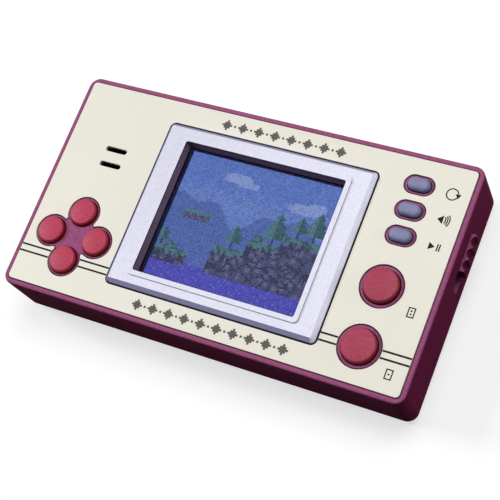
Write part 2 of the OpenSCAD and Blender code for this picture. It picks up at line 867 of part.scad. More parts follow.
// Rubber sheet on the board with a dome at each place
module membrane(places) {
  color(rubber) {
    difference() {
      translate([0, 0, board_top]) linear_extrude(sheet_t) children();
      for (p = places)
        rod(p, board_top - cut, board_top + sheet_t + cut, dome_base_r - dome_wall);
    }
    for (p = places)
      dome(p);
  }
}

module dpad_membrane() {
  membrane(pad_at) translate([pad_x, pad_y]) cross_outline(-sheet_over);
}

module action_membrane() {
  span = upper_action_y - lower_action_y;
  membrane(action_at) translate([action_x, (upper_action_y + lower_action_y) / 2]) rotate(90)
    stadium(span + 2 * action_hole_r, 2 * action_hole_r);
}

module menu_membrane() {
  membrane(menu_at) translate([action_x, menu_y]) rotate(90)
    stadium(2 * menu_pitch + menu_hole_w, menu_hole_w);
}

// Board and what stands on it

module main_board() {
  color("#2F6B4A") translate([0, 0, board_z]) linear_extrude(board_t) difference() {
    rounded_rect(inner_w - 2 * board_gap, inner_d - 2 * board_gap, inner_r);
    translate([screen_x, 0]) square([bay_out_w + 4 * free_gap, bay_out_d + 4 * free_gap], center = true);
    translate([speaker_x, speaker_y]) circle(speaker_bore + head_gap);
    for (p = screw_at)
      translate(p) circle(boss_r + head_gap);
    for (p = standoff_at)
      translate(p) circle(board_shank_r + close_gap);
    translate([notch_x, knob_y - slide_travel / 2 - notch_d / 2]) square([inner_w, notch_d]);
  }
}

module chip_blob() {
  ball_r = (blob_r * blob_r + blob_h * blob_h) / (2 * blob_h);
  color("#1B1B1E") translate([screen_x, -standoff_y, board_top]) rotate_extrude() intersection() {
    translate([0, blob_h - ball_r]) circle(ball_r, $fn = 256);
    square([blob_r, blob_h]);
  }
}

module chip(x, w, d, t) {
  translate([screen_x + x, -standoff_y, board_top]) linear_extrude(t) square([w, d], center = true);
}

module board_chips() {
  color("#232327") {
    chip(memory_x, memory_w, memory_d, memory_t);
    chip(driver_x, driver_w, driver_w, driver_t);
    chip(crystal_x, crystal_w, crystal_d, crystal_t);
  }
}

// Screw with its head below, and a cross recess in the head
module screw(at, seat, shank_r, shank_len, head_r, head_t) {
  difference() {
    union() {
      rod(at, seat, seat + shank_len, shank_r);
      rod(at, seat - head_t, seat, head_r);
    }
    translate([at.x, at.y, seat - head_t]) {
      cube([1.2 * head_r, recess_w, head_t], center = true);
      cube([recess_w, 1.2 * head_r, head_t], center = true);
    }
  }
}

module board_screws() {
  color(steel) for (p = standoff_at)
    screw(p, board_z, board_shank_r, board_t + face_in - board_top - free_gap, board_head_r, board_head_t);
}

module case_screws() {
  color(steel) for (p = screw_at)
    screw(p, well_depth, case_shank_r, case_screw_len, case_head_r, case_head_t);
}

// Sound

module speaker() {
  lip = speaker_r - speaker_rim;
  color(steel) translate([speaker_x, speaker_y, speaker_z]) rotate_extrude() polygon([
    [0, 0], [magnet_r, 0], [magnet_r, magnet_t], [speaker_r - basket_in, basket_z], [speaker_r, basket_z],
    [speaker_r, speaker_t], [lip, speaker_t], [lip, cone_seat], [lip - cone_edge, cone_seat],
    [coil_former_r + close_gap, basket_floor], [0, basket_floor]
  ]);
}

module speaker_cone() {
  edge = speaker_r - speaker_rim - close_gap;
  top = coil_former_z + cone_t;
  color(carbon) translate([speaker_x, speaker_y, speaker_z]) rotate_extrude() polygon([
    [0, coil_former_z + dust_cap_h], [coil_former_r, coil_former_z], [edge - cone_edge, cone_seat],
    [edge, cone_seat], [edge, cone_seat + cone_t], [edge - cone_edge - close_gap, cone_seat + cone_t],
    [coil_former_r, top], [0, top + dust_cap_h]
  ]);
}

module speaker_gasket() {
  at = [speaker_x, speaker_y, face_in - gasket_t];
  color(carbon) translate(at) linear_extrude(gasket_t) difference() {
    circle(speaker_r - close_gap);
    circle(speaker_r - close_gap - gasket_w);
  }
}

// From the back of the speaker, down and across to the underside of the board
module speaker_wires() {
  x0 = speaker_x + 2.6;
  x1 = bay_x0 - bay_wall - 3.2;
  dip = speaker_z - 2.1;
  color(wire_red) for (s = [-1, 1]) {
    y = speaker_y + s;
    tube([
      [x0, y, speaker_z], [x0, y, speaker_z - 1], [x0 + 0.7, y, dip + 0.3], [x0 + 2, y, dip],
      [x1 - 2, y, dip], [x1 - 0.7, y, dip + 0.3], [x1, y, board_z - 0.9], [x1, y, board_z]
    ], wire_r, 8, [1, 0, 0]);
  }
}

// Batteries and contacts

// Direction in which each cell's cap points
function cap_side(i) = i % 2 == 0 ? -1 : 1;

module battery(i) {
  side = cap_side(i);
  can = cell_len - nub_len;
  start = screen_x + side * (bay_len / 2 - contact_t - spring_gap);
  color("#3E6E8E") translate([start, cell_y[i], cell_z]) rotate([0, -90 * side, 0]) {
    cylinder(h = nub_len, r = nub_r);
    translate([0, 0, nub_len]) rotate_extrude() edge_section(cell_d / 2, can, 0.6, 0.6);
  }
}

// Centre line of a coil, with its ends standing square on the contact and the cell
function coil_at(x, turns) = [x, spring_r * cos(360 * turns), spring_r * sin(360 * turns)];
function coil(length, turns) =
  let (rings = 8 * turns, lead = 2 * spring_wire_r, step = (length - 2 * lead) / rings)
    concat(
      [coil_at(0, 0)],
      [for (k = [0:rings]) coil_at(lead + step * k, k / 8)],
      [coil_at(length, turns)]
    );

// Least distance between stretches of the wire that lie half a turn or more apart
spring_path = coil(spring_len, spring_turns);
spring_clear = min([
  for (i = [0:len(spring_path) - 6], j = [i + 5:len(spring_path) - 1])
    norm(spring_path[i] - spring_path[j])
]) - 2 * spring_wire_r;
echo(str("least gap between spring turns, mm: ", spring_clear));

module battery_springs() {
  color(steel) for (i = [0:cell_count - 1]) {
    side = -cap_side(i);
    translate([screen_x + side * (bay_len / 2 - contact_t), cell_y[i], cell_z])
      rotate([0, 0, side > 0 ? 180 : 0]) tube(spring_path, spring_wire_r, 6, [0, 0, 1]);
  }
}

// Contact plate on a bay's end wall, from one cell's place to another's
module contact_plate(side, y0, y1) {
  x = screen_x + side * (bay_len - contact_t) / 2;
  translate([x, (y0 + y1) / 2, cell_z]) cube([contact_t, y1 - y0 + contact_w, contact_h], center = true);
}

module contact_tag(side, y) {
  reach = bay_wall + tag_out + cut;
  x = screen_x + side * (bay_len / 2 - cut + reach / 2);
  translate([x, y, cell_z]) cube([reach, tag_w, tag_h], center = true);
}

module positive_contact() {
  color(steel) {
    contact_plate(-1, cell_y[0], cell_y[0]);
    contact_tag(-1, cell_y[0]);
  }
}

module negative_contact() {
  color(steel) {
    contact_plate(1, cell_y[2], cell_y[2]);
    contact_tag(1, cell_y[2]);
  }
}

module bridge_contacts() {
  color(steel) {
    contact_plate(1, cell_y[0], cell_y[1]);
    contact_plate(-1, cell_y[1], cell_y[2]);
  }
}

// From each end contact's tag, out and up to the underside of the board
module battery_wires() {
  color(wire_red) for (s = [-1, 1]) {
    x = screen_x + s * (bay_len / 2 + bay_wall + tag_out);
    y = s * cell_y[2];
    tube([
      [x, y, cell_z], [x + 0.9 * s, y, cell_z], [x + 1.8 * s, y, cell_z + 0.6],
      [x + 2.1 * s, y, cell_z + 1.7], [x + 2.1 * s, y, board_z]
    ], wire_r, 8, [0, 1, 0]);
  }
}

// Door with two tabs along its top edge, a sprung tongue at the bottom and ribs between the cells
module battery_door() {
  slit = 0.8;
  slit_d = 6;
  rib_t = 0.9;
  rib_h = 1.5;
  grip_d = 0.7;
  color(burgundy) translate([screen_x, 0, 0]) difference() {
    union() {
      translate([0, 0, door_recess]) linear_extrude(door_t) square([door_w, door_d], center = true);
      for (s = [-1, 1])
        box(
          [s * tab_x - tab_w / 2, door_d / 2 - cut, door_top - tab_t],
          [s * tab_x + tab_w / 2, door_d / 2 + tab_out, door_top]
        );
      for (i = [0:cell_count - 2])
        translate([0, (cell_y[i] + cell_y[i + 1]) / 2, door_top])
          cube([cell_len / 2, rib_t, 2 * rib_h], center = true);
    }
    for (s = [-1, 1])
      translate([s * (tongue_w + slit) / 2, -door_d / 2, door_top])
        cube([slit, 2 * slit_d, 4 * door_t], center = true);
    for (k = [1:3])
      translate([0, 2 * grip_d * k - door_d / 2, door_recess])
        cube([tongue_w - 3, grip_d, door_t / 2], center = true);
  }
}

// Power switch

module power_slider() {
  face_x = case_w / 2 + knob_out;
  scallop_x = face_x + 0.3 * scallop_r;
  pocket = lever_w + 2 * close_gap;
  color(burgundy) difference() {
    union() {
      translate([slider_x, knob_y - slider_len / 2, slot_z - slider_h / 2])
        cube([slider_t, slider_len, slider_h]);
      box(
        [slider_x, knob_y - knob_len / 2, slot_z - knob_h / 2],
        [face_x, knob_y + knob_len / 2, slot_z + knob_h / 2]
      );
    }
    for (k = [-1, 0, 1])
      rod([scallop_x, knob_y + k * scallop_pitch], slot_z - knob_h, slot_z + knob_h, scallop_r);
    translate([slider_x, knob_y, split_z])
      cube([2 * slider_t, pocket, lever_h + 2 * close_gap], center = true);
  }
}

module slide_switch() {
  back = switch_x + switch_w;
  window = lever_w + slide_travel + 2 * slot_gap;
  color(steel) difference() {
    box([switch_x, slot_y - switch_d / 2, switch_z], [back, slot_y + switch_d / 2, board_z]);
    translate([back, slot_y, split_z]) cube([switch_w, window, lever_h + 2 * close_gap], center = true);
  }
}

module switch_lever() {
  color(carbon) box(
    [switch_x + switch_w / 2 + slot_gap, knob_y - lever_w / 2, split_z - lever_h / 2],
    [slider_x + slider_t - close_gap, knob_y + lever_w / 2, split_z + lever_h / 2]
  );
}

front_shell();
rear_shell();
face_plate();
screen_bezel();
screen_lens();
lens_tape();
lcd_glass();
lcd_backlight();
lcd_flex();
lcd_connector();
lcd_cushion();
round_button(pad_at[0], pad_cap_r, pad_rise);  // dpad_up_button
round_button(pad_at[1], pad_cap_r, pad_rise);  // dpad_down_button
round_button(pad_at[2], pad_cap_r, pad_rise);  // dpad_left_button
round_button(pad_at[3], pad_cap_r, pad_rise);  // dpad_right_button
round_button(action_at[0], action_cap_r, action_rise);  // upper_action_button
round_button(action_at[1], action_cap_r, action_rise);  // lower_action_button
menu_button(menu_at[0]);  // reset_button
menu_button(menu_at[1]);  // volume_button
menu_button(menu_at[2]);  // pause_button
pill(pad_at[0]);  // dpad_up_pill
pill(pad_at[1]);  // dpad_down_pill
pill(pad_at[2]);  // dpad_left_pill
pill(pad_at[3]);  // dpad_right_pill
pill(action_at[0]);  // upper_action_pill
pill(action_at[1]);  // lower_action_pill
pill(menu_at[0]);  // reset_pill
pill(menu_at[1]);  // volume_pill
pill(menu_at[2]);  // pause_pill
dpad_membrane();
action_membrane();
menu_membrane();
main_board();
chip_blob();
board_chips();
board_screws();
speaker();
speaker_cone();
speaker_gasket();
speaker_wires();
battery_wires();
power_slider();
slide_switch();
switch_lever();
battery(0);  // battery_1
battery(1);  // battery_2
battery(2);  // battery_3
battery_springs();
positive_contact();
negative_contact();
bridge_contacts();
battery_door();
case_screws();
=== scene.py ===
"""Looks of a handheld game console: finishes, prints, the display's picture, studio light and camera.

Sizes are in millimetres where a name or comment doesn't say otherwise.
"""

import json
import logging
import math
from collections.abc import Sequence
from dataclasses import asdict, dataclass, field, replace
from enum import Enum

import bmesh
import bpy
from mathutils import Matrix, Vector, noise

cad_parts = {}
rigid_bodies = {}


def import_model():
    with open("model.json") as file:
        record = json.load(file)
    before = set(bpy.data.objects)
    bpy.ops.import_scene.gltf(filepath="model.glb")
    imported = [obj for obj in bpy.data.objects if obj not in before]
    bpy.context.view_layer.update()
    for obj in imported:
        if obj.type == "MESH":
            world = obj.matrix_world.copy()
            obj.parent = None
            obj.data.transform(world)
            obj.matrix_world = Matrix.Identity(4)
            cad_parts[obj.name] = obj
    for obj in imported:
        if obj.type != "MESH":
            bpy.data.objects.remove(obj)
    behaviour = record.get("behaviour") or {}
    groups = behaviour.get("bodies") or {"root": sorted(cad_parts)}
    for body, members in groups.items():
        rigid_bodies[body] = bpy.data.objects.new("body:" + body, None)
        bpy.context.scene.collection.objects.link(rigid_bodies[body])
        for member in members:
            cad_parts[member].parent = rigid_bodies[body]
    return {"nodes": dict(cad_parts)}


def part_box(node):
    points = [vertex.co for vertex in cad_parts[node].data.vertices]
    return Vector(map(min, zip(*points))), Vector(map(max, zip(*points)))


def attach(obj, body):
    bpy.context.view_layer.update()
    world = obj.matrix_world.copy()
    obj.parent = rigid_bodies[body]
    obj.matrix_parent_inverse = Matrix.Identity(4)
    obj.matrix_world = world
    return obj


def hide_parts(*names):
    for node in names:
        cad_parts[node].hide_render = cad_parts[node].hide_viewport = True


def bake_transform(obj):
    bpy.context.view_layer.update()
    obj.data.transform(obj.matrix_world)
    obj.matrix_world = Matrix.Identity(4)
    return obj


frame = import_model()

LOG = logging.getLogger("console")
MM = 0.001
# Points closer than this are one point.
WELD_MM = 1e-4
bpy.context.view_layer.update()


def linear(code: str) -> tuple[float, float, float, float]:
    """Turns an sRGB hex value into linear colour.

    Args:
        code: Colour such as "#8A3B62".

    Returns:
        Linear red, green, blue and an alpha of 1.
    """
    channels = [int(code[i : i + 2], 16) / 255 for i in (1, 3, 5)]
    return (*[c / 12.92 if c <= 0.04045 else ((c + 0.055) / 1.055) ** 2.4 for c in channels], 1.0)


def per_mm(size: float) -> float:
    """Scale of a texture whose pattern repeats about every `size` millimetres."""
    return 1 / (size * MM)


def add_node(
    tree: bpy.types.NodeTree, kind: str, inputs: dict | None = None, **settings: object
) -> bpy.types.Node:
    """Adds one node with its settings and links.

    Args:
        tree: Node tree that takes the node.
        kind: Blender's name of the node type.
        inputs: Input name or number to a plain value, or to the socket that feeds it.
        settings: Properties of the node itself.

    Returns:
        The new node.
    """
    node = tree.nodes.new(kind)
    for name, value in settings.items():
        setattr(node, name, value)
    for key, value in (inputs or {}).items():
        if isinstance(value, bpy.types.NodeSocket):
            tree.links.new(value, node.inputs[key])
        else:
            node.inputs[key].default_value = value
    return node


def looked_at(tree: bpy.types.NodeTree) -> tuple[bpy.types.NodeSocket, bpy.types.NodeSocket]:
    """Tells the rays that show a background from those that light the object.

    Args:
        tree: Node tree of the background's material or world.

    Returns:
        A socket that is 1 for what the camera sees, also through a clear piece, and one that is 1 for
        that and for reflections.
    """
    path = add_node(tree, "ShaderNodeLightPath")
    rays = {0: path.outputs["Is Camera Ray"], 1: path.outputs["Is Transmission Ray"]}
    direct = add_node(tree, "ShaderNodeMath", rays, operation="MAXIMUM").outputs[0]
    rays = {0: direct, 1: path.outputs["Is Glossy Ray"]}
    return direct, add_node(tree, "ShaderNodeMath", rays, operation="MAXIMUM").outputs[0]


# Finishes


@dataclass(frozen=True)
class Finish:
    """A surface finish, made into a material once and kept under its name."""

    name: str

    def material(self) -> bpy.types.Material:
        """Makes the material, or finds the one that is made already.

        Returns:
            The finish as a Blender material.
        """
        made = bpy.data.materials.get(self.name)
        if made is None:
            made = bpy.data.materials.new(self.name)
            made.use_nodes = True
            made.node_tree.nodes.clear()
            surface = self.shader(made.node_tree)
            add_node(made.node_tree, "ShaderNodeOutputMaterial", {"Surface": surface.outputs[0]})
        return made

    def shader(self, tree: bpy.types.NodeTree) -> bpy.types.Node:
        """Builds the finish's nodes.

        Args:
            tree: Empty node tree of the material.

        Returns:
            The node whose first output is the surface.
        """
        raise NotImplementedError


@dataclass(frozen=True)
class MouldedPlastic(Finish):
    """Injection-moulded ABS or nylon from a spark-eroded tool.

    The eye sees one even colour with faint flow clouds, a satin sheen broken by a fine pebble, and
    edges a little paler and smoother: partly rubbed by handling, partly a painted highlight.
    """

    colour: str
    cloud: str
    worn_highlight: str
    roughness: float = 0.46
    cloud_mm: float = 16.0
    pebble_mm: float = 0.5
    pebble_depth_mm: float = 0.012
    edge_mm: float = 0.16
    wear_highlight: float = 0.45
    # Agreement of the rounded and the flat normal where the pale edge (wear and painted highlight) starts,
    # and where it is full.
    wear_highlight_turn: tuple[float, float] = (0.96, 0.72)
    patch_mm: float = 5.0
    sheen_spread: float = 0.05
    specular: float = 0.5
    index: float = 1.5

    def body(self, tree: bpy.types.NodeTree, coordinates: bpy.types.Node) -> bpy.types.NodeSocket:
        """Builds the plastic's colour before wear.

        Args:
            tree: Node tree of the material.
            coordinates: Its texture coordinates.

        Returns:
            The socket that gives the colour.
        """
        # Flow clouds are about 16 mm across, as the melt front leaves them, or as fine as the tool's grain.
        cloud = add_node(
            tree,
            "ShaderNodeTexNoise",
            {"Vector": coordinates.outputs["Object"], "Scale": per_mm(self.cloud_mm), "Detail": 3.0},
        )
        return add_node(
            tree,
            "ShaderNodeMix",
            {0: cloud.outputs[0], 6: linear(self.colour), 7: linear(self.cloud)},
            data_type="RGBA",
        ).outputs[2]

    def shader(self, tree: bpy.types.NodeTree) -> bpy.types.Node:
        """Colour clouds, pebble bump and worn edges with a painted highlight on one Principled surface.

        Args:
            tree: Empty node tree of the material.

        Returns:
            The node whose first output is the surface.
        """
        coordinates = add_node(tree, "ShaderNodeTexCoord")
        place = coordinates.outputs["Object"]
        # The real pebble is about 0.1 mm, too fine to show, so it is drawn some times coarser.
        pebble = add_node(
            tree, "ShaderNodeTexNoise", {"Vector": place, "Scale": per_mm(self.pebble_mm), "Detail": 2.0}
        )
        base = self.body(tree, coordinates)
        rounded = add_node(tree, "ShaderNodeBevel", {"Radius": self.edge_mm * MM}, samples=4)
        flat = add_node(tree, "ShaderNodeNewGeometry")
        turn = add_node(
            tree,
            "ShaderNodeVectorMath",
            {0: rounded.outputs[0], 1: flat.outputs["True Normal"]},
            operation="DOT_PRODUCT",
        )
        edge = add_node(
            tree,
            "ShaderNodeMapRange",
            {
                "Value": turn.outputs["Value"],
                "From Min": self.wear_highlight_turn[0],
                "From Max": self.wear_highlight_turn[1],
                "To Max": self.wear_highlight,
            },
        )
        # The pale edges, rubbing and painted highlight, are patchy over stretches of about 5 mm.
        patch = add_node(
            tree, "ShaderNodeTexNoise", {"Vector": place, "Scale": per_mm(self.patch_mm), "Detail": 4.0}
        )
        worn_highlight = add_node(
            tree, "ShaderNodeMath", {0: edge.outputs[0], 1: patch.outputs[0]}, operation="MULTIPLY"
        )
        # Edges take the paler colour: partly wear, partly a painted highlight.
        colour = add_node(
            tree,
            "ShaderNodeMix",
            {0: worn_highlight.outputs[0], 6: base, 7: linear(self.worn_highlight)},
            data_type="RGBA",
        )
        sheen = add_node(
            tree,
            "ShaderNodeMapRange",
            {
                "Value": pebble.outputs[0],
                "From Min": 0.3,
                "From Max": 0.7,
                "To Min": self.roughness - self.sheen_spread,
                "To Max": self.roughness + self.sheen_spread,
            },
        )
        bump = add_node(
            tree,
            "ShaderNodeBump",
            {
                "Height": pebble.outputs[0],
                "Distance": self.pebble_depth_mm * MM,
                "Strength": 0.7,
                "Normal": rounded.outputs[0],
            },
        )
        return add_node(
            tree,
            "ShaderNodeBsdfPrincipled",
            {
                "Base Color": colour.outputs[2],
                "Roughness": sheen.outputs[0],
                "Normal": bump.outputs[0],
                "IOR": self.index,
                "Specular IOR Level": self.specular,
            },
        )


@dataclass(frozen=True)
class TopLitPlastic(MouldedPlastic):
    """Moulded plastic with painted light: dark sides as painted shade, a paler painted highlight on what
    faces up.
    """

    # Paler colour on faces that look up, as if lit from above: a painted highlight.
    painted_top_light: str = "#A05A82"
    grain_mm: float = 0.5
    # Upward part of the normal where the painted highlight starts and where it is full, and its share on the
    # grain.
    painted_top_light_turn: tuple[float, float] = (0.35, 0.9)
    painted_top_light_share: tuple[float, float] = (0.6, 1.08)

    def body(self, tree: bpy.types.NodeTree, coordinates: bpy.types.Node) -> bpy.types.NodeSocket:
        """The plastic's colour, with the painted highlight by the surface's slope.

        Args:
            tree: Node tree of the material.
            coordinates: Its texture coordinates.

        Returns:
            The socket that gives the colour.
        """
        plain = super().body(tree, coordinates)
        tilt = add_node(tree, "ShaderNodeSeparateXYZ", {0: coordinates.outputs["Normal"]})
        up = add_node(
            tree,
            "ShaderNodeMapRange",
            {"Value": tilt.outputs["Z"], "From Min": self.painted_top_light_turn[0], "From Max": self.painted_top_light_turn[1]},
        )
        grain = add_node(
            tree,
            "ShaderNodeTexNoise",
            {"Vector": coordinates.outputs["Object"], "Scale": per_mm(self.grain_mm), "Detail": 2.0},
        )
        # The painted highlight sits on the tool's grain, thinner in its hollows.
        painted_top_light_level = add_node(
            tree,
            "ShaderNodeMapRange",
            {
                "Value": grain.outputs[0],
                "From Min": 0.3,
                "From Max": 0.65,
                "To Min": self.painted_top_light_share[0],
                "To Max": self.painted_top_light_share[1],
            },
            clamp=False,
        )
        cover = add_node(
            tree, "ShaderNodeMath", {0: up.outputs[0], 1: painted_top_light_level.outputs[0]}, operation="MULTIPLY"
        )
        return add_node(
            tree, "ShaderNodeMix", {0: cover.outputs[0], 6: plain, 7: linear(self.painted_top_light)}, data_type="RGBA"
        ).outputs[2]


@dataclass(frozen=True)
class CapPlastic(TopLitPlastic):
    """Top-lit plastic from a tool with a coarser, deeper grain, for grip on the caps."""

    pebble_mm: float = 0.42
    pebble_depth_mm: float = 0.03


@dataclass(frozen=True)
class ShadeTapedPlastic(TopLitPlastic):
    """Top-lit plastic with black tape colour where it holds a plate: painted shade in the dark joints and
    slots.
    """

    # Black tape colour under the plate: painted shade in the joints and slots.
    tape: str = "#1A0D15"
    shade_tape_top_mm: float = 0.0
    shade_tape_half_mm: tuple[float, float] = (0.0, 0.0)
    # Centre and half sizes of each hole in the tape.
    holes_mm: tuple[tuple[float, float, float, float], ...] = ()

    def body(self, tree: bpy.types.NodeTree, coordinates: bpy.types.Node) -> bpy.types.NodeSocket:
        """The top-lit plastic's colour, then the black tape by its place, as painted shade.

        Args:
            tree: Node tree of the material.
            coordinates: Its texture coordinates.

        Returns:
            The socket that gives the colour.
        """
        bare = super().body(tree, coordinates)
        here = coordinates.outputs["Object"]
        shade_taped = self.inside(tree, here, (0.0, 0.0), (*self.shade_tape_half_mm, self.shade_tape_top_mm))
        for x, y, half_x, half_y in self.holes_mm:
            hole = self.inside(tree, here, (x, y), (half_x, half_y, self.shade_tape_top_mm))
            cut = add_node(tree, "ShaderNodeMath", {0: shade_taped, 1: hole}, operation="SUBTRACT", use_clamp=True)
            shade_taped = cut.outputs[0]
        return add_node(
            tree, "ShaderNodeMix", {0: shade_taped, 6: bare, 7: linear(self.tape)}, data_type="RGBA"
        ).outputs[2]

    @staticmethod
    def inside(
        tree: bpy.types.NodeTree,
        here: bpy.types.NodeSocket,
        centre: tuple[float, float],
        half: tuple[float, float, float],
    ) -> bpy.types.NodeSocket:
        """One inside a block on the frame's own axes, nought outside it.

        Args:
            tree: Node tree of the material.
            here: Socket with the shaded point's place.
            centre: Middle of the block across the face, in millimetres.
            half: Half the block's width and depth, and its height above the back, in millimetres.

        Returns:
            Socket with the mask.
        """
        middle = (centre[0] * MM, centre[1] * MM, 0.0)
        offset = add_node(tree, "ShaderNodeVectorMath", {0: here, 1: middle}, operation="SUBTRACT")
        span = add_node(tree, "ShaderNodeVectorMath", {0: offset.outputs[0]}, operation="ABSOLUTE")
        place = add_node(tree, "ShaderNodeSeparateXYZ", {0: span.outputs[0]})
        within = [
            add_node(tree, "ShaderNodeMath", {0: at, 1: limit * MM}, operation="LESS_THAN").outputs[0]
            for at, limit in zip(place.outputs, half)
        ]
        mask = within[0]
        for side in within[1:]:
            mask = add_node(tree, "ShaderNodeMath", {0: mask, 1: side}, operation="MULTIPLY").outputs[0]
        return mask


@dataclass(frozen=True)
class SilverLacquer(Finish):
    """Pearl-silver lacquer sprayed on moulded ABS.

    The eye sees a pale lavender silver with a sparkle of fine flakes on the flats. Painted light lies on it:
    a deeper, duller lavender as painted shade on sloping edges that don't face right, painted shade towards
    the left, a painted highlight on slopes that face right, and painted shade on upright walls and in the
    joint.
    """

    colour: str
    flake: str
    # Colour of the painted shade on sloping edges.
    slope: str
    flake_mm: float = 0.3
    edge_mm: float = 0.14
    flat_metal: float = 0.15
    edge_metal: float = 0.6
    flat_roughness: tuple[float, float] = (0.28, 0.34)
    slope_dull: float = 0.22
    # Upward part of the normal where slopes and upright walls start, and where they are full.
    slope_turn: tuple[float, float] = (0.95, 0.75)
    wall_turn: tuple[float, float] = (0.35, 0.1)
    # Part of the normal to the right where the lit side starts and where it is full, and how much painted
    # shade a slope keeps there.
    light_side_turn: tuple[float, float] = (-0.1, 0.4)
    lit_slope_shade: float = 0.1
    # Places across the face between which the painted light grows, its share at the first (painted shade
    # on the left), and the painted highlight that a slope facing right adds.
    painted_light_mm: tuple[float, float] = (-10.0, 10.0)
    painted_left_shade: float = 0.9
    painted_right_highlight: float = 0.16
    # Colour of the painted shade on upright walls and in the joint with the plate.
    joint_shade: str = "#2C2634"
    joint_shade_top_mm: float = 0.0
    joint_shade_fade_mm: float = 0.2

    def shader(self, tree: bpy.types.NodeTree) -> bpy.types.Node:
        """Flakes in colour and roughness, with painted shade and highlight by slope, side and joint.

        Args:
            tree: Empty node tree of the material.

        Returns:
            The node whose first output is the surface.
        """
        coordinates = add_node(tree, "ShaderNodeTexCoord")
        place = coordinates.outputs["Object"]
        # Real flakes are about 0.05 mm, drawn at 0.3 mm so that they show.
        flake = add_node(tree, "ShaderNodeTexVoronoi", {"Vector": place, "Scale": per_mm(self.flake_mm)})
        grey = add_node(tree, "ShaderNodeRGBToBW", {0: flake.outputs["Color"]})
        colour = add_node(
            tree,
            "ShaderNodeMix",
            {0: grey.outputs[0], 6: linear(self.colour), 7: linear(self.flake)},
            data_type="RGBA",
        )
        tilt = add_node(tree, "ShaderNodeSeparateXYZ", {0: coordinates.outputs["Normal"]})
        spot = add_node(tree, "ShaderNodeSeparateXYZ", {0: place})
        slope = add_node(
            tree,
            "ShaderNodeMapRange",
            {"Value": tilt.outputs["Z"], "From Min": self.slope_turn[0], "From Max": self.slope_turn[1]},
        )
        # Painted light: slopes that face right keep more of the flat colour, the others take the painted
        # shade.
        away_from_light = add_node(
            tree,
            "ShaderNodeMapRange",
            {
                "Value": tilt.outputs["X"],
                "From Min": self.light_side_turn[0],
                "From Max": self.light_side_turn[1],
                "To Min": 1.0,
                "To Max": self.lit_slope_shade,
            },
        )
        bare = add_node(
            tree, "ShaderNodeMath", {0: slope.outputs[0], 1: away_from_light.outputs[0]}, operation="MULTIPLY"
        )
        # Painted light: darker towards the left as painted shade, and brightest on slopes that face right.
        thin = add_node(
            tree,
            "ShaderNodeMapRange",
            {
                "Value": spot.outputs["X"],
                "From Min": self.painted_light_mm[0] * MM,
                "From Max": self.painted_light_mm[1] * MM,
                "To Min": self.painted_left_shade,
                "To Max": 1.0,
            },
        )
        lit_slope = add_node(
            tree, "ShaderNodeMath", {0: slope.outputs[0], 1: bare.outputs[0]}, operation="SUBTRACT"
        )
        painted_light_level = add_node(
            tree,
            "ShaderNodeMath",
            {0: lit_slope.outputs[0], 1: self.painted_right_highlight, 2: thin.outputs[0]},
            operation="MULTIPLY_ADD",
        )
        coat = add_node(
            tree, "ShaderNodeVectorMath", {0: colour.outputs[2], "Scale": painted_light_level.outputs[0]}, operation="SCALE"
        )
        shaded = add_node(
            tree,
            "ShaderNodeMix",
            {0: bare.outputs[0], 6: coat.outputs[0], 7: linear(self.slope)},
            data_type="RGBA",
        )
        metal = add_node(
            tree,
            "ShaderNodeMapRange",
            {"Value": bare.outputs[0], "To Min": self.flat_metal, "To Max": self.edge_metal},
        )
        # Painted shade darkens upright walls and the foot of the slopes, down in the joint with the plate.
        upright = add_node(
            tree,
            "ShaderNodeMapRange",
            {"Value": tilt.outputs["Z"], "From Min": self.wall_turn[0], "From Max": self.wall_turn[1]},
        )
        foot = add_node(
            tree,
            "ShaderNodeMapRange",
            {
                "Value": spot.outputs["Z"],
                "From Min": (self.joint_shade_top_mm + self.joint_shade_fade_mm) * MM,
                "From Max": self.joint_shade_top_mm * MM,
            },
        )
        wall_shade = add_node(
            tree, "ShaderNodeMath", {0: upright.outputs[0], 1: foot.outputs[0]}, operation="MAXIMUM"
        )
        wall_shaded = add_node(
            tree,
            "ShaderNodeMix",
            {0: wall_shade.outputs[0], 6: shaded.outputs[2], 7: linear(self.joint_shade)},
            data_type="RGBA",
        )
        fine = add_node(
            tree,
            "ShaderNodeMapRange",
            {"Value": grey.outputs[0], "To Min": self.flat_roughness[0], "To Max": self.flat_roughness[1]},
        )
        sheen = add_node(
            tree,
            "ShaderNodeMath",
            {0: slope.outputs[0], 1: self.slope_dull, 2: fine.outputs[0]},
            operation="MULTIPLY_ADD",
        )
        rounded = add_node(tree, "ShaderNodeBevel", {"Radius": self.edge_mm * MM}, samples=4)
        return add_node(
            tree,
            "ShaderNodeBsdfPrincipled",
            {
                "Base Color": wall_shaded.outputs[2],
                "Metallic": metal.outputs[0],
                "Roughness": sheen.outputs[0],
                "Normal": rounded.outputs[0],
            },
        )


@dataclass(frozen=True)
class ClearAcrylic(Finish):
    """Cast acrylic sheet with a coat against glare, die cut: clear, with faint finger smears."""

    tint: str = "#FBFCFF"
    smear_mm: float = 7.0
    smear_roughness: tuple[float, float] = (0.02, 0.08)
    # Acrylic's index is 1.49. The coat mirrors far less of a white studio, which a low index gives.
    index: float = 1.12

    def shader(self, tree: bpy.types.NodeTree) -> bpy.types.Node:
        """Clear sheet of the coat's index, a little duller where it is smeared.

        Args:
            tree: Empty node tree of the material.

        Returns:
            The node whose first output is the surface.
        """
        place = add_node(tree, "ShaderNodeTexCoord").outputs["Object"]
        smear = add_node(
            tree, "ShaderNodeTexNoise", {"Vector": place, "Scale": per_mm(self.smear_mm), "Detail": 5.0}
        )
        dull = add_node(
            tree,
            "ShaderNodeMapRange",
            {
                "Value": smear.outputs[0],
                "From Min": 0.4,
                "From Max": 0.75,
                "To Min": self.smear_roughness[0],
                "To Max": self.smear_roughness[1],
            },
        )
        return add_node(
            tree,
            "ShaderNodeBsdfPrincipled",
            {
                "Base Color": linear(self.tint),
                "Roughness": dull.outputs[0],
                "IOR": self.index,
                "Transmission Weight": 1.0,
            },
        )


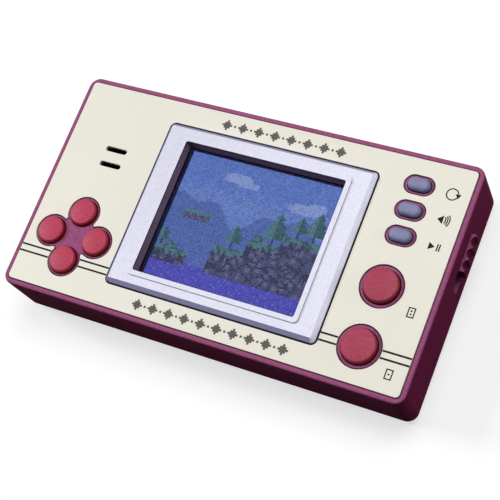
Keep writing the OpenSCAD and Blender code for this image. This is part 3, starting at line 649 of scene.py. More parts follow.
@dataclass(frozen=True)
class BacklitCells(Finish):
    """Back-lit liquid crystal behind its polariser: each cell glows in its own colour, slightly grainy."""

    layer: str
    glow: float = 0.98
    grain_mm: float = 0.42
    grain_light: tuple[float, float] = (0.67, 1.33)
    dot_mm: float = 0.507
    dot_gap: float = 0.09
    dot_light: tuple[float, float] = (1.06, 0.72)
    mask: str = "#0C0C12"

    def shader(self, tree: bpy.types.NodeTree) -> bpy.types.Node:
        """Glow from the picture's own colour layer, broken by the polariser's grain.

        Args:
            tree: Empty node tree of the material.

        Returns:
            The node whose first output is the surface.
        """
        place = add_node(tree, "ShaderNodeTexCoord").outputs["Object"]
        cells = add_node(tree, "ShaderNodeAttribute", attribute_name=self.layer)
        # The polariser's grain is about 0.05 mm, drawn coarser so that it shows.
        grain = add_node(
            tree, "ShaderNodeTexNoise", {"Vector": place, "Scale": per_mm(self.grain_mm), "Detail": 1.0}
        )
        level = add_node(
            tree,
            "ShaderNodeMapRange",
            {
                "Value": grain.outputs[0],
                "From Min": 0.25,
                "From Max": 0.75,
                "To Min": self.grain_light[0],
                "To Max": self.grain_light[1],
            },
        )
        # Dark lines part the dots, drawn at the size of the picture's cells so that they show.
        dots = add_node(
            tree,
            "ShaderNodeTexBrick",
            {
                "Vector": place,
                "Scale": per_mm(1),
                "Mortar Size": self.dot_gap / 2,
                "Mortar Smooth": 0.4,
                "Brick Width": self.dot_mm,
                "Row Height": self.dot_mm,
            },
            offset=0.0,
        )
        open_part = add_node(
            tree,
            "ShaderNodeMapRange",
            {"Value": dots.outputs["Fac"], "To Min": self.dot_light[0], "To Max": self.dot_light[1]},
        )
        lit = add_node(
            tree, "ShaderNodeMath", {0: level.outputs[0], 1: open_part.outputs[0]}, operation="MULTIPLY"
        )
        shown = add_node(
            tree,
            "ShaderNodeVectorMath",
            {0: cells.outputs["Color"], "Scale": lit.outputs[0]},
            operation="SCALE",
        )
        return add_node(
            tree,
            "ShaderNodeBsdfPrincipled",
            {
                "Base Color": linear(self.mask),
                "Roughness": 0.5,
                "Specular IOR Level": 0.05,
                "Emission Color": shown.outputs[0],
                "Emission Strength": self.glow,
            },
        )


@dataclass(frozen=True)
class PorousSheet(Finish):
    """Foam, rubber or cone paper: a matt sheet with open pores or fibres, painted darker in them as shade."""

    colour: str
    pore_shade: str
    pore_mm: float = 0.5
    # Distance from a pore's middle to its rim, in pores.
    pore_reach: float = 0.6
    depth_mm: float = 0.08
    roughness: float = 0.9
    soft: float = 0.0
    soft_mm: float = 1.5

    def shader(self, tree: bpy.types.NodeTree) -> bpy.types.Node:
        """Pores darken the colour as painted shade, and dent the surface.

        Args:
            tree: Empty node tree of the material.

        Returns:
            The node whose first output is the surface.
        """
        place = add_node(tree, "ShaderNodeTexCoord").outputs["Object"]
        pores = add_node(tree, "ShaderNodeTexVoronoi", {"Vector": place, "Scale": per_mm(self.pore_mm)})
        depth = add_node(
            tree, "ShaderNodeMapRange", {"Value": pores.outputs["Distance"], "From Max": self.pore_reach}
        )
        colour = add_node(
            tree,
            "ShaderNodeMix",
            {0: depth.outputs[0], 6: linear(self.pore_shade), 7: linear(self.colour)},
            data_type="RGBA",
        )
        bump = add_node(
            tree,
            "ShaderNodeBump",
            {"Height": depth.outputs[0], "Distance": self.depth_mm * MM, "Strength": 0.8},
        )
        return add_node(
            tree,
            "ShaderNodeBsdfPrincipled",
            {
                "Base Color": colour.outputs[2],
                "Roughness": self.roughness,
                "Normal": bump.outputs[0],
                "Subsurface Weight": self.soft,
                "Subsurface Scale": self.soft_mm * MM,
            },
        )


@dataclass(frozen=True)
class PlatedSteel(Finish):
    """Drawn or stamped steel with a thin nickel or zinc plate: bright grey with fine draw lines."""

    colour: str = "#CFCDC8"
    line_mm: float = 0.12
    line_depth_mm: float = 0.004
    stretch: tuple[float, float, float] = (0.08, 1.0, 1.0)
    roughness: tuple[float, float] = (0.18, 0.42)

    def shader(self, tree: bpy.types.NodeTree) -> bpy.types.Node:
        """Draw lines vary the roughness and the surface.

        Args:
            tree: Empty node tree of the material.

        Returns:
            The node whose first output is the surface.
        """
        place = add_node(tree, "ShaderNodeTexCoord").outputs["Object"]
        along = add_node(tree, "ShaderNodeMapping", {"Vector": place, "Scale": self.stretch})
        # Real draw lines are about 0.02 mm apart, drawn coarser so that they show.
        lines = add_node(
            tree,
            "ShaderNodeTexNoise",
            {"Vector": along.outputs[0], "Scale": per_mm(self.line_mm), "Detail": 3.0},
        )
        sheen = add_node(
            tree,
            "ShaderNodeMapRange",
            {"Value": lines.outputs[0], "To Min": self.roughness[0], "To Max": self.roughness[1]},
        )
        bump = add_node(
            tree,
            "ShaderNodeBump",
            {"Height": lines.outputs[0], "Distance": self.line_depth_mm * MM, "Strength": 0.5},
        )
        return add_node(
            tree,
            "ShaderNodeBsdfPrincipled",
            {
                "Base Color": linear(self.colour),
                "Metallic": 1.0,
                "Roughness": sheen.outputs[0],
                "Normal": bump.outputs[0],
            },
        )


class Side(Enum):
    """Axis along which a zoned finish changes."""

    X = 0
    Y = 1


@dataclass(frozen=True)
class ZonedSleeve(Finish):
    """Shrunk PVC sleeve or wire cover in up to three colours along one axis, glossy and slightly wavy."""

    side: Side
    # Where each zone starts in millimetres, its colour and its metalness.
    zones: tuple[tuple[float, str, float], ...]
    roughness: float = 0.3
    wave_mm: float = 4.0
    wave_depth_mm: float = 0.05
    shade: float = 0.25

    def shader(self, tree: bpy.types.NodeTree) -> bpy.types.Node:
        """The zones by their place, with waves that darken and bend the surface.

        Args:
            tree: Empty node tree of the material.

        Returns:
            The node whose first output is the surface.
        """
        place = add_node(tree, "ShaderNodeTexCoord").outputs["Object"]
        axes = add_node(tree, "ShaderNodeSeparateXYZ", {0: place})
        at = axes.outputs[self.side.value]
        wave = add_node(
            tree, "ShaderNodeTexNoise", {"Vector": place, "Scale": per_mm(self.wave_mm), "Detail": 2.0}
        )
        colour, metal = linear(self.zones[0][1]), self.zones[0][2]
        for start, code, metalness in self.zones[1:]:
            past = add_node(
                tree, "ShaderNodeMath", {0: at, 1: start * MM}, operation="GREATER_THAN"
            ).outputs[0]
            colour = add_node(
                tree, "ShaderNodeMix", {0: past, 6: colour, 7: linear(code)}, data_type="RGBA"
            ).outputs[2]
            if metalness != metal:
                metal = add_node(
                    tree, "ShaderNodeMix", {0: past, 2: metal, 3: metalness}, data_type="FLOAT"
                ).outputs[0]
        # Painted shade: the sleeve is a little darker in the hollows of its waves.
        hollow = add_node(
            tree,
            "ShaderNodeMapRange",
            {"Value": wave.outputs[0], "From Min": 0.3, "From Max": 0.7, "To Min": 1 - self.shade},
        )
        colour = add_node(
            tree, "ShaderNodeVectorMath", {0: colour, "Scale": hollow.outputs[0]}, operation="SCALE"
        ).outputs[0]
        bump = add_node(
            tree,
            "ShaderNodeBump",
            {"Height": wave.outputs[0], "Distance": self.wave_depth_mm * MM, "Strength": 0.4},
        )
        return add_node(
            tree,
            "ShaderNodeBsdfPrincipled",
            {"Base Color": colour, "Metallic": metal, "Roughness": self.roughness, "Normal": bump.outputs[0]},
        )


@dataclass(frozen=True)
class PrintedTracks(Finish):
    """Etched copper tracks under a solder mask or a polyimide cover: glossy film with raised lines."""

    film: str
    track: str
    pad: str
    row_mm: float = 1.6
    line: float = 0.12
    # Length of a straight track in rows, and how far the next row's is shifted, in its length.
    run: float = 5.2
    shift: float = 0.37
    pad_mm: float = 5.0
    pad_radius: float = 0.11
    depth_mm: float = 0.03
    roughness: float = 0.32

    def shader(self, tree: bpy.types.NodeTree) -> bpy.types.Node:
        """Tracks are a brick bond's joints, and pads sit on a wider grid.

        Args:
            tree: Empty node tree of the material.

        Returns:
            The node whose first output is the surface.
        """
        place = add_node(tree, "ShaderNodeTexCoord").outputs["Object"]
        tracks = add_node(
            tree,
            "ShaderNodeTexBrick",
            {
                "Vector": place,
                "Scale": per_mm(1),
                "Mortar Size": self.line,
                "Brick Width": self.run * self.row_mm,
                "Row Height": self.row_mm,
            },
            offset=self.shift,
        )
        dots = add_node(
            tree, "ShaderNodeTexVoronoi", {"Vector": place, "Scale": per_mm(self.pad_mm), "Randomness": 0.8}
        )
        on_pad = add_node(
            tree, "ShaderNodeMath", {0: dots.outputs["Distance"], 1: self.pad_radius}, operation="LESS_THAN"
        )
        ground = add_node(
            tree,
            "ShaderNodeMix",
            {0: tracks.outputs["Fac"], 6: linear(self.film), 7: linear(self.track)},
            data_type="RGBA",
        )
        colour = add_node(
            tree,
            "ShaderNodeMix",
            {0: on_pad.outputs[0], 6: ground.outputs[2], 7: linear(self.pad)},
            data_type="RGBA",
        )
        bump = add_node(
            tree,
            "ShaderNodeBump",
            {"Height": tracks.outputs["Fac"], "Distance": self.depth_mm * MM, "Strength": 0.7},
        )
        return add_node(
            tree,
            "ShaderNodeBsdfPrincipled",
            {
                "Base Color": colour.outputs[2],
                "Metallic": on_pad.outputs[0],
                "Roughness": self.roughness,
                "Normal": bump.outputs[0],
            },
        )


@dataclass(frozen=True)
class ScreenInk(Finish):
    """Screen-printed ink on the plate: a thin matt film, a little uneven where the mesh let it through."""

    colour: str
    thin: str
    mesh_mm: float = 0.35
    roughness: float = 0.6
    specular: float = 0.1

    def shader(self, tree: bpy.types.NodeTree) -> bpy.types.Node:
        """The ink's colour wavers with the printing mesh.

        Args:
            tree: Empty node tree of the material.

        Returns:
            The node whose first output is the surface.
        """
        place = add_node(tree, "ShaderNodeTexCoord").outputs["Object"]
        # A printing mesh is about 0.1 mm, drawn coarser so that it shows.
        mesh = add_node(
            tree, "ShaderNodeTexNoise", {"Vector": place, "Scale": per_mm(self.mesh_mm), "Detail": 2.0}
        )
        colour = add_node(
            tree,
            "ShaderNodeMix",
            {0: mesh.outputs[0], 6: linear(self.colour), 7: linear(self.thin)},
            data_type="RGBA",
        )
        return add_node(
            tree,
            "ShaderNodeBsdfPrincipled",
            {
                "Base Color": colour.outputs[2],
                "Roughness": self.roughness,
                "Specular IOR Level": self.specular,
            },
        )


@dataclass(frozen=True)
class StudioFloor(Finish):
    """Pale studio floor: white to the camera and in reflections, dimmer as a source of bounce light."""

    shown: str = "#B2B2B2"
    bounce: str = "#222224"
    lift: float = 0.64

    def shader(self, tree: bpy.types.NodeTree) -> bpy.types.Node:
        """The shown floor keeps the object's shadow and adds a little light of its own.

        Args:
            tree: Empty node tree of the material.

        Returns:
            The node whose first output is the surface.
        """
        direct, seen = looked_at(tree)
        dim = add_node(tree, "ShaderNodeBsdfDiffuse", {"Color": linear(self.bounce)})
        pale = add_node(tree, "ShaderNodeBsdfDiffuse", {"Color": linear(self.shown)})
        own = add_node(tree, "ShaderNodeMath", {0: direct, 1: self.lift}, operation="MULTIPLY")
        light = add_node(tree, "ShaderNodeEmission", {"Strength": own.outputs[0]})
        white = add_node(tree, "ShaderNodeAddShader", {0: pale.outputs[0], 1: light.outputs[0]})
        return add_node(tree, "ShaderNodeMixShader", {0: seen, 1: dim.outputs[0], 2: white.outputs[0]})


# Shared making of pieces


def dress(finish: Finish, *nodes: str) -> None:
    """Gives CAD nodes a finish.

    Args:
        finish: The finish.
        nodes: Names of the nodes.
    """
    for name in nodes:
        mesh = frame["nodes"][name].data
        mesh.materials.clear()
        mesh.materials.append(finish.material())
        LOG.info("%s: %s", name, finish.name)


def piece(
    mesh: bmesh.types.BMesh,
    name: str,
    finish: Finish,
    body: str,
    bend: tuple[str, Vector, Vector] | None = None,
) -> bpy.types.Object:
    """Turns a bmesh in metres into a piece of the object.

    Args:
        mesh: The finished shape, freed here.
        name: Name of the piece.
        finish: Its finish.
        body: CAD body that it rides on.
        bend: When given, the piece is left on no body; the other body and the points that it holds are not
            used.

    Returns:
        The new object, at the origin.
    """
    data = bpy.data.meshes.new(name)
    mesh.to_mesh(data)
    mesh.free()
    data.materials.append(finish.material())
    made = bpy.data.objects.new(name, data)
    bpy.context.scene.collection.objects.link(made)
    if bend:
        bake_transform(made)
    else:
        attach(made, body)
    LOG.info("%s: new piece of %d faces, %s, on %s", name, len(data.polygons), finish.name, body)
    return made


def thicken(bm: bmesh.types.BMesh, height: float) -> None:
    """Raises flat faces into closed shapes.

    Args:
        bm: The faces, in any unit.
        height: How far they are raised, in the same unit.
    """
    raised = bmesh.ops.extrude_face_region(bm, geom=bm.faces[:])["geom"]
    lifted = [item for item in raised if isinstance(item, bmesh.types.BMVert)]
    bmesh.ops.translate(bm, vec=(0, 0, height), verts=lifted)
    bmesh.ops.recalc_face_normals(bm, faces=bm.faces[:])


@dataclass
class InkDrawing:
    """Flat printed shapes, drawn in millimetres on the face plate."""

    mesh: bmesh.types.BMesh = field(default_factory=bmesh.new)
    dot_sides: int = 24
    # Fewest steps of a curved line, and about how many degrees a step has.
    least_steps: int = 6
    step_angle: float = 8.0

    def polygon(self, corners: Sequence[tuple[float, float]]) -> bmesh.types.BMFace:
        """Adds a filled polygon with these corners, and returns it."""
        return self.mesh.faces.new([self.mesh.verts.new((x, y, 0)) for x, y in corners])

    def bar(self, x0: float, y0: float, x1: float, y1: float) -> None:
        """Adds a filled rectangle from one corner to the other."""
        self.polygon([(x0, y0), (x1, y0), (x1, y1), (x0, y1)])

    def dot(self, x: float, y: float, radius: float) -> None:
        """Adds a filled disc."""
        place = Matrix.Translation((x, y, 0))
        bmesh.ops.create_circle(
            self.mesh, cap_ends=True, segments=self.dot_sides, radius=radius, matrix=place
        )

    def arc(self, x: float, y: float, radius: float, width: float, start: float, sweep: float) -> None:
        """Adds a curved line.

        Args:
            x: Centre across the face.
            y: Centre along the face.
            radius: Radius of the line's middle.
            width: Width of the line.
            start: Angle where it starts, in degrees from +X.
            sweep: Angle that it covers, in degrees.
        """
        way = Vector((math.cos(math.radians(start)), math.sin(math.radians(start)), 0))
        centre = Vector((x, y, 0))
        ends = [self.mesh.verts.new(centre + way * (radius + s * width / 2)) for s in (-1, 1)]
        bmesh.ops.spin(
            self.mesh,
            geom=[*ends, self.mesh.edges.new(ends)],
            cent=centre,
            axis=(0, 0, 1),
            angle=math.radians(sweep),
            steps=max(self.least_steps, round(abs(sweep) / self.step_angle)),
            use_merge=abs(sweep) >= 360,
        )

    def outline(self, x: float, y: float, width: float, depth: float, line: float) -> None:
        """Adds the outline of an upright rectangle.

        Args:
            x: Its middle across the face.
            y: Its middle along the face.
            width: Its outer width.
            depth: Its outer depth.
            line: Width of the line.
        """
        w, d = width / 2, depth / 2
        tile = self.polygon([(x - w, y - d), (x + w, y - d), (x + w, y + d), (x - w, y + d)])
        tile.normal_update()
        bmesh.ops.inset_region(
            self.mesh, faces=[tile], thickness=line, use_boundary=True, use_even_offset=True
        )
        bmesh.ops.delete(self.mesh, geom=[tile], context="FACES")

    def printed(self, name: str, finish: Finish, top: float, film: float) -> bpy.types.Object:
        """Gives the shapes their thickness and lays them on the plate.

        Args:
            name: Name of the piece.
            finish: The ink, or the plate's own plastic.
            top: Height that they lie on, in metres.
            film: Thickness of the shapes, in metres.

        Returns:
            The printed piece.
        """
        bm = self.mesh
        thicken(bm, film / MM)
        place = Matrix.Translation((0, 0, top)) @ Matrix.Scale(MM, 4)
        bmesh.ops.transform(bm, matrix=place, verts=bm.verts[:])
        return piece(bm, name, finish, "console")


def round_leads(routes: Sequence[Sequence[tuple[float, float, float]]], radius: float) -> bmesh.types.BMesh:
    """Lays round leads along smooth routes.

    Args:
        routes: Points of each lead, in millimetres.
        radius: Radius of a lead, in millimetres.

    Returns:
        The leads as one bmesh in metres.
    """
    data = bpy.data.curves.new("lead_route", "CURVE")
    data.dimensions = "3D"
    data.bevel_depth, data.bevel_resolution, data.use_fill_caps = radius * MM, 4, True
    for route in routes:
        spline = data.splines.new("BEZIER")
        spline.bezier_points.add(len(route) - 1)
        for point, at in zip(spline.bezier_points, route):
            point.co = Vector(at) * MM
            point.handle_left_type = point.handle_right_type = "AUTO"
    holder = bpy.data.objects.new("lead_route", data)
    bpy.context.scene.collection.objects.link(holder)
    solid = bpy.data.meshes.new_from_object(holder.evaluated_get(bpy.context.evaluated_depsgraph_get()))
    bm = bmesh.new()
    bm.from_mesh(solid)
    for made, kept in ((holder, bpy.data.objects), (data, bpy.data.curves), (solid, bpy.data.meshes)):
        kept.remove(made)
    bmesh.ops.remove_doubles(bm, verts=bm.verts[:], dist=WELD_MM * MM)
    bmesh.ops.recalc_face_normals(bm, faces=bm.faces[:])
    return bm


# Sub-assemblies


@dataclass
class Housing:
    """Two burgundy shells with the battery door, the power slider and their screws."""

    # Dark base colour as painted shade on the sides, a paler painted highlight on top, and pale edges: partly
    # wear, partly a painted highlight along the rim.
    shell: TopLitPlastic = TopLitPlastic(
        "Burgundy ABS, moulded", "#742049", "#7A284F", "#B97C9C", roughness=0.6, specular=0.015, wear_highlight=0.6
    )
    shade_tape_lift: float = 0.05
    # Half the width of the square hole in the tape (painted shade) under the middle of the cross-shaped well.
    shade_tape_hole: float = 5.1
    screw: PlatedSteel = PlatedSteel("Zinc-plated screw steel", "#B9B8B2")

    def build(self) -> None:
        """Dresses the shells, the moving covers and the screws."""
        low, high = (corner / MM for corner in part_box("face_plate"))
        middle = (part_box("dpad_left_button")[0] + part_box("dpad_right_button")[1]) / (2 * MM)
        lens_low, lens_high = (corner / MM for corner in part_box("screen_lens"))
        window, reach = (lens_low + lens_high) / 2, (lens_high - lens_low) / 2
        # The black plate tape paints shade into the joints and slots; its holes keep the well's floor and the
        # window clear of it.
        seat = ShadeTapedPlastic(
            **{
                **asdict(self.shell),
                "name": "Burgundy ABS, moulded, with plate tape",
                "shade_tape_top_mm": low.z + self.shade_tape_lift,
                "shade_tape_half_mm": (high.x + self.shade_tape_lift, high.y + self.shade_tape_lift),
                "holes_mm": (
                    (middle.x, middle.y, self.shade_tape_hole, self.shade_tape_hole),
                    (window.x, window.y, reach.x, reach.y),
                ),
            }
        )
        dress(seat, "front_shell")
        dress(self.shell, "rear_shell", "battery_door", "power_slider")
        dress(self.screw, "case_screws", "board_screws")


@dataclass
class FacePlate:
    """Cream plate with its printed stripes, symbols and pixel bands."""

    plate: MouldedPlastic = MouldedPlastic(
        "Cream ABS, moulded plate", "#E6E2D4", "#EAE7DB", "#F2F0E8", roughness=0.4, wear_highlight=0.25
    )
    ink: ScreenInk = ScreenInk("Charcoal screen ink", "#131215", "#1E1C1F")
    pale_ink: ScreenInk = ScreenInk("Grey screen ink", "#5A5652", "#6B6762")
    film: float = 0.03
    edge_gap: float = 0.04
    stripe_heights: tuple[float, float] = (-18.66, -20.42)
    stripe_width: float = 0.46
    well_lobe: float = 4.45
    well_hole: float = 4.4
    # Angles of a lobe's outline in degrees, from the notch in the plate to the point between two lobes.
    lobe_angles: tuple[float, float, float] = (66.0, 63.0, 60.6)
    # How far the point's end is rounded, in half its width, and in how many steps.
    tip_bulge: float = 0.3
    tip_steps: int = 6
    corner_thickness: float = 0.17
    corner_drop: float = 0.01
    trim_gap: float = 0.45
    action_ring: float = 5.45
    line: float = 0.28
    reset_at: tuple[float, float] = (48.2, 21.2)
    reset_radius: float = 1.4
    # Start and sweep of the ring in degrees, and the arrow's corners from the ring's right-hand side.
    reset_arc: tuple[float, float] = (14.0, 322.0)
    reset_arrow: tuple[tuple[float, float], ...] = ((-0.72, 0.28), (0.72, 0.28), (0.1, -0.85))
    volume_at: tuple[float, float] = (48.4, 14.65)
    volume_cone: tuple[tuple[float, float], ...] = ((-1.65, 0.0), (-0.25, -1.05), (-0.25, 1.05))
    wave_shift: float = -0.9
    wave_radii: tuple[float, float, float] = (1.25, 1.75, 2.25)
    wave_arc: tuple[float, float] = (-38.0, 76.0)
    pause_at: tuple[float, float] = (48.58, 7.85)
    pause_triangle: tuple[tuple[float, float], ...] = ((-1.6, -0.9), (-0.1, 0.0), (-1.6, 0.9))
    pause_bars: tuple[float, float] = (0.35, 0.9)
    pause_half: float = 0.9
    pause_width: float = 0.308
    mark_x: float = 48.6
    mark_rows: tuple[float, float] = (-8.5, -23.5)
    mark_dots: tuple[int, int] = (2, 1)
    mark_size: tuple[float, float] = (1.75, 2.5)
    dot_radius: float = 0.22
    dot_step: float = 0.75
    # Left end, right end and height on the face of each row of diamonds.
    bands: tuple[tuple[float, float, float], ...] = ((-14.3, 21.0, 24.85), (-18.0, 25.3, -25.2))
    pixel: float = 0.54
    # Pixels from the middle of a diamond to its points, and from one diamond to the next.
    diamond_reach: int = 2
    diamond_pitch: int = 8
    # Height of the plate's face in metres, read when it is built.
    top: float = 0.0

    def build(self) -> None:
        """Dresses the plate and prints on it."""
        dress(self.plate, "face_plate")
        self.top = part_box("face_plate")[1].z
        self.well_corners()
        self.stripes()
        self.reset_symbol()
        self.volume_symbol()
        self.pause_symbol()
        self.button_marks()
        for name, band in zip(("upper_pixel_band", "lower_pixel_band"), self.bands):
            self.pixel_band(name, *band)

    def lay(self, drawing: InkDrawing, name: str, ink: ScreenInk) -> None:
        """Prints one drawing on the plate."""
        drawing.printed(name, ink, self.top, self.film * MM)

    def well_corners(self) -> None:
        """Rounds the four points of the plate that reach in between the well's lobes."""
        left, right = (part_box(f"dpad_{side}_button") for side in ("left", "right"))
        middle = (left[0] + right[1]) / (2 * MM)
        reach = (right[0].x + right[1].x) / (2 * MM) - middle.x
        drawing = InkDrawing()
        # A lobe's outline, from the notch in the plate to the point's blunt end.
        lobe = [
            (reach - self.well_hole * math.cos(angle), self.well_hole * math.sin(angle))
            for angle in (math.radians(degrees) for degrees in self.lobe_angles)
        ]
        tip = Vector((lobe[-1][0] + lobe[-1][1],) * 2) / 2
        side = Vector(lobe[-1]) - tip
        inward = -tip.normalized() * side.length * self.tip_bulge
        turns = [math.pi * k / self.tip_steps for k in range(1, self.tip_steps)]
        end = [tip + side * math.cos(turn) + inward * math.sin(turn) for turn in turns]
        point = [*lobe, *[(corner.x, corner.y) for corner in end], *[(y, x) for x, y in reversed(lobe)]]
        for sx, sy in ((1, 1), (-1, 1), (-1, -1), (1, -1)):
            drawing.polygon([(middle.x + sx * x, middle.y + sy * y) for x, y in point])
        under = self.top - (self.corner_thickness + self.corner_drop) * MM
        drawing.printed("well_corners", self.plate, under, self.corner_thickness * MM)

    def stripes(self) -> None:
        """Two thin stripes across the plate, broken by the well, the trim and the lower action ring."""
        drawing = InkDrawing()
        left, right = (corner.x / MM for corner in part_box("face_plate"))
        trim = [corner.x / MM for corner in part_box("screen_bezel")]
        rings = []
        for name, radius in (("dpad_down_button", self.well_lobe), ("lower_action_button", self.action_ring)):
            low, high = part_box(name)
            rings.append(((low + high) / (2 * MM), radius))
        for y in self.stripe_heights:
            gaps = [(trim[0] - self.trim_gap, trim[1] + self.trim_gap)]
            for centre, radius in rings:
                rise = y - centre.y
                if abs(rise) < radius:
                    half = math.sqrt(radius * radius - rise * rise)
                    gaps.append((centre.x - half, centre.x + half))
            start = left + self.edge_gap
            for a, b in sorted(gaps):
                drawing.bar(start, y - self.stripe_width / 2, a, y + self.stripe_width / 2)
                start = b
            drawing.bar(start, y - self.stripe_width / 2, right - self.edge_gap, y + self.stripe_width / 2)
        self.lay(drawing, "plate_stripes", self.ink)

    def reset_symbol(self) -> None:
        """A nearly closed ring that ends in an arrow head."""
        drawing, (x, y), r = InkDrawing(), self.reset_at, self.reset_radius
        drawing.arc(x, y, r, self.line, *self.reset_arc)
        drawing.polygon([(x + r + across, y + up) for across, up in self.reset_arrow])
        self.lay(drawing, "reset_symbol", self.ink)

    def volume_symbol(self) -> None:
        """A sound cone with three waves."""
        drawing, (x, y) = InkDrawing(), self.volume_at
        drawing.polygon([(x + across, y + up) for across, up in self.volume_cone])
        for radius in self.wave_radii:
            drawing.arc(x + self.wave_shift, y, radius, self.line, *self.wave_arc)
        self.lay(drawing, "volume_symbol", self.ink)

    def pause_symbol(self) -> None:
        """A triangle and two bars."""
        drawing, (x, y) = InkDrawing(), self.pause_at
        drawing.polygon([(x + across, y + up) for across, up in self.pause_triangle])
        for left in self.pause_bars:
            drawing.bar(x + left, y - self.pause_half, x + left + self.pause_width, y + self.pause_half)
        self.lay(drawing, "pause_symbol", self.ink)

    def button_marks(self) -> None:
        """A small outlined tile with dots beside each action button."""
        for name, y, dots in zip(("upper_tile_mark", "lower_tile_mark"), self.mark_rows, self.mark_dots):
            drawing = InkDrawing()
            drawing.outline(self.mark_x, y, *self.mark_size, self.line)
            for k in range(dots):
                drawing.dot(self.mark_x, y + self.dot_step * (k - (dots - 1) / 2), self.dot_radius)
            self.lay(drawing, name, self.ink)

    def pixel_band(self, name: str, x0: float, x1: float, y: float) -> None:
        """A row of pixel diamonds with a dot between them.

        Args:
            name: Name of the piece.
            x0: Left end.
            x1: Right end.
            y: Height of its middle on the face.
        """
        drawing, p, reach = InkDrawing(), self.pixel, self.diamond_reach
        count = round((x1 - x0) / (self.diamond_pitch * p))
        step = (x1 - x0) / count
        # The right half of a diamond, up its steps, and then the left half down.
        right = [
            ((reach + 0.5 - abs(row)) * p, (row + edge) * p)
            for row in range(-reach, reach + 1)
            for edge in (-0.5, 0.5)
        ]
        steps = [*right, *[(-across, up) for across, up in reversed(right)]]
        for k in range(count):
            x = x0 + (k + 0.5) * step
            drawing.polygon([(x + across, y + up) for across, up in steps])
            if k < count - 1:
                drawing.bar(x + step / 2 - p / 2, y - p / 2, x + step / 2 + p / 2, y + p / 2)
        self.lay(drawing, name, self.pale_ink)


class Tone(Enum):
    """Colours of the display's picture."""

    BORDER = "#15162E"
    SKY = "#5670B6"
    HAZE = "#6078B8"
    CLOUD = "#7C8FC4"
    HILL = "#4C62A2"
    ROCK = "#474A6C"
    ROCK_DARK = "#343653"
    ROCK_PALE = "#5B5E82"
    GRASS = "#48707A"
    GRASS_DARK = "#36565E"
    TRUNK = "#3A3850"
    WATER = "#4848AC"
    FOAM = "#5A5EBA"


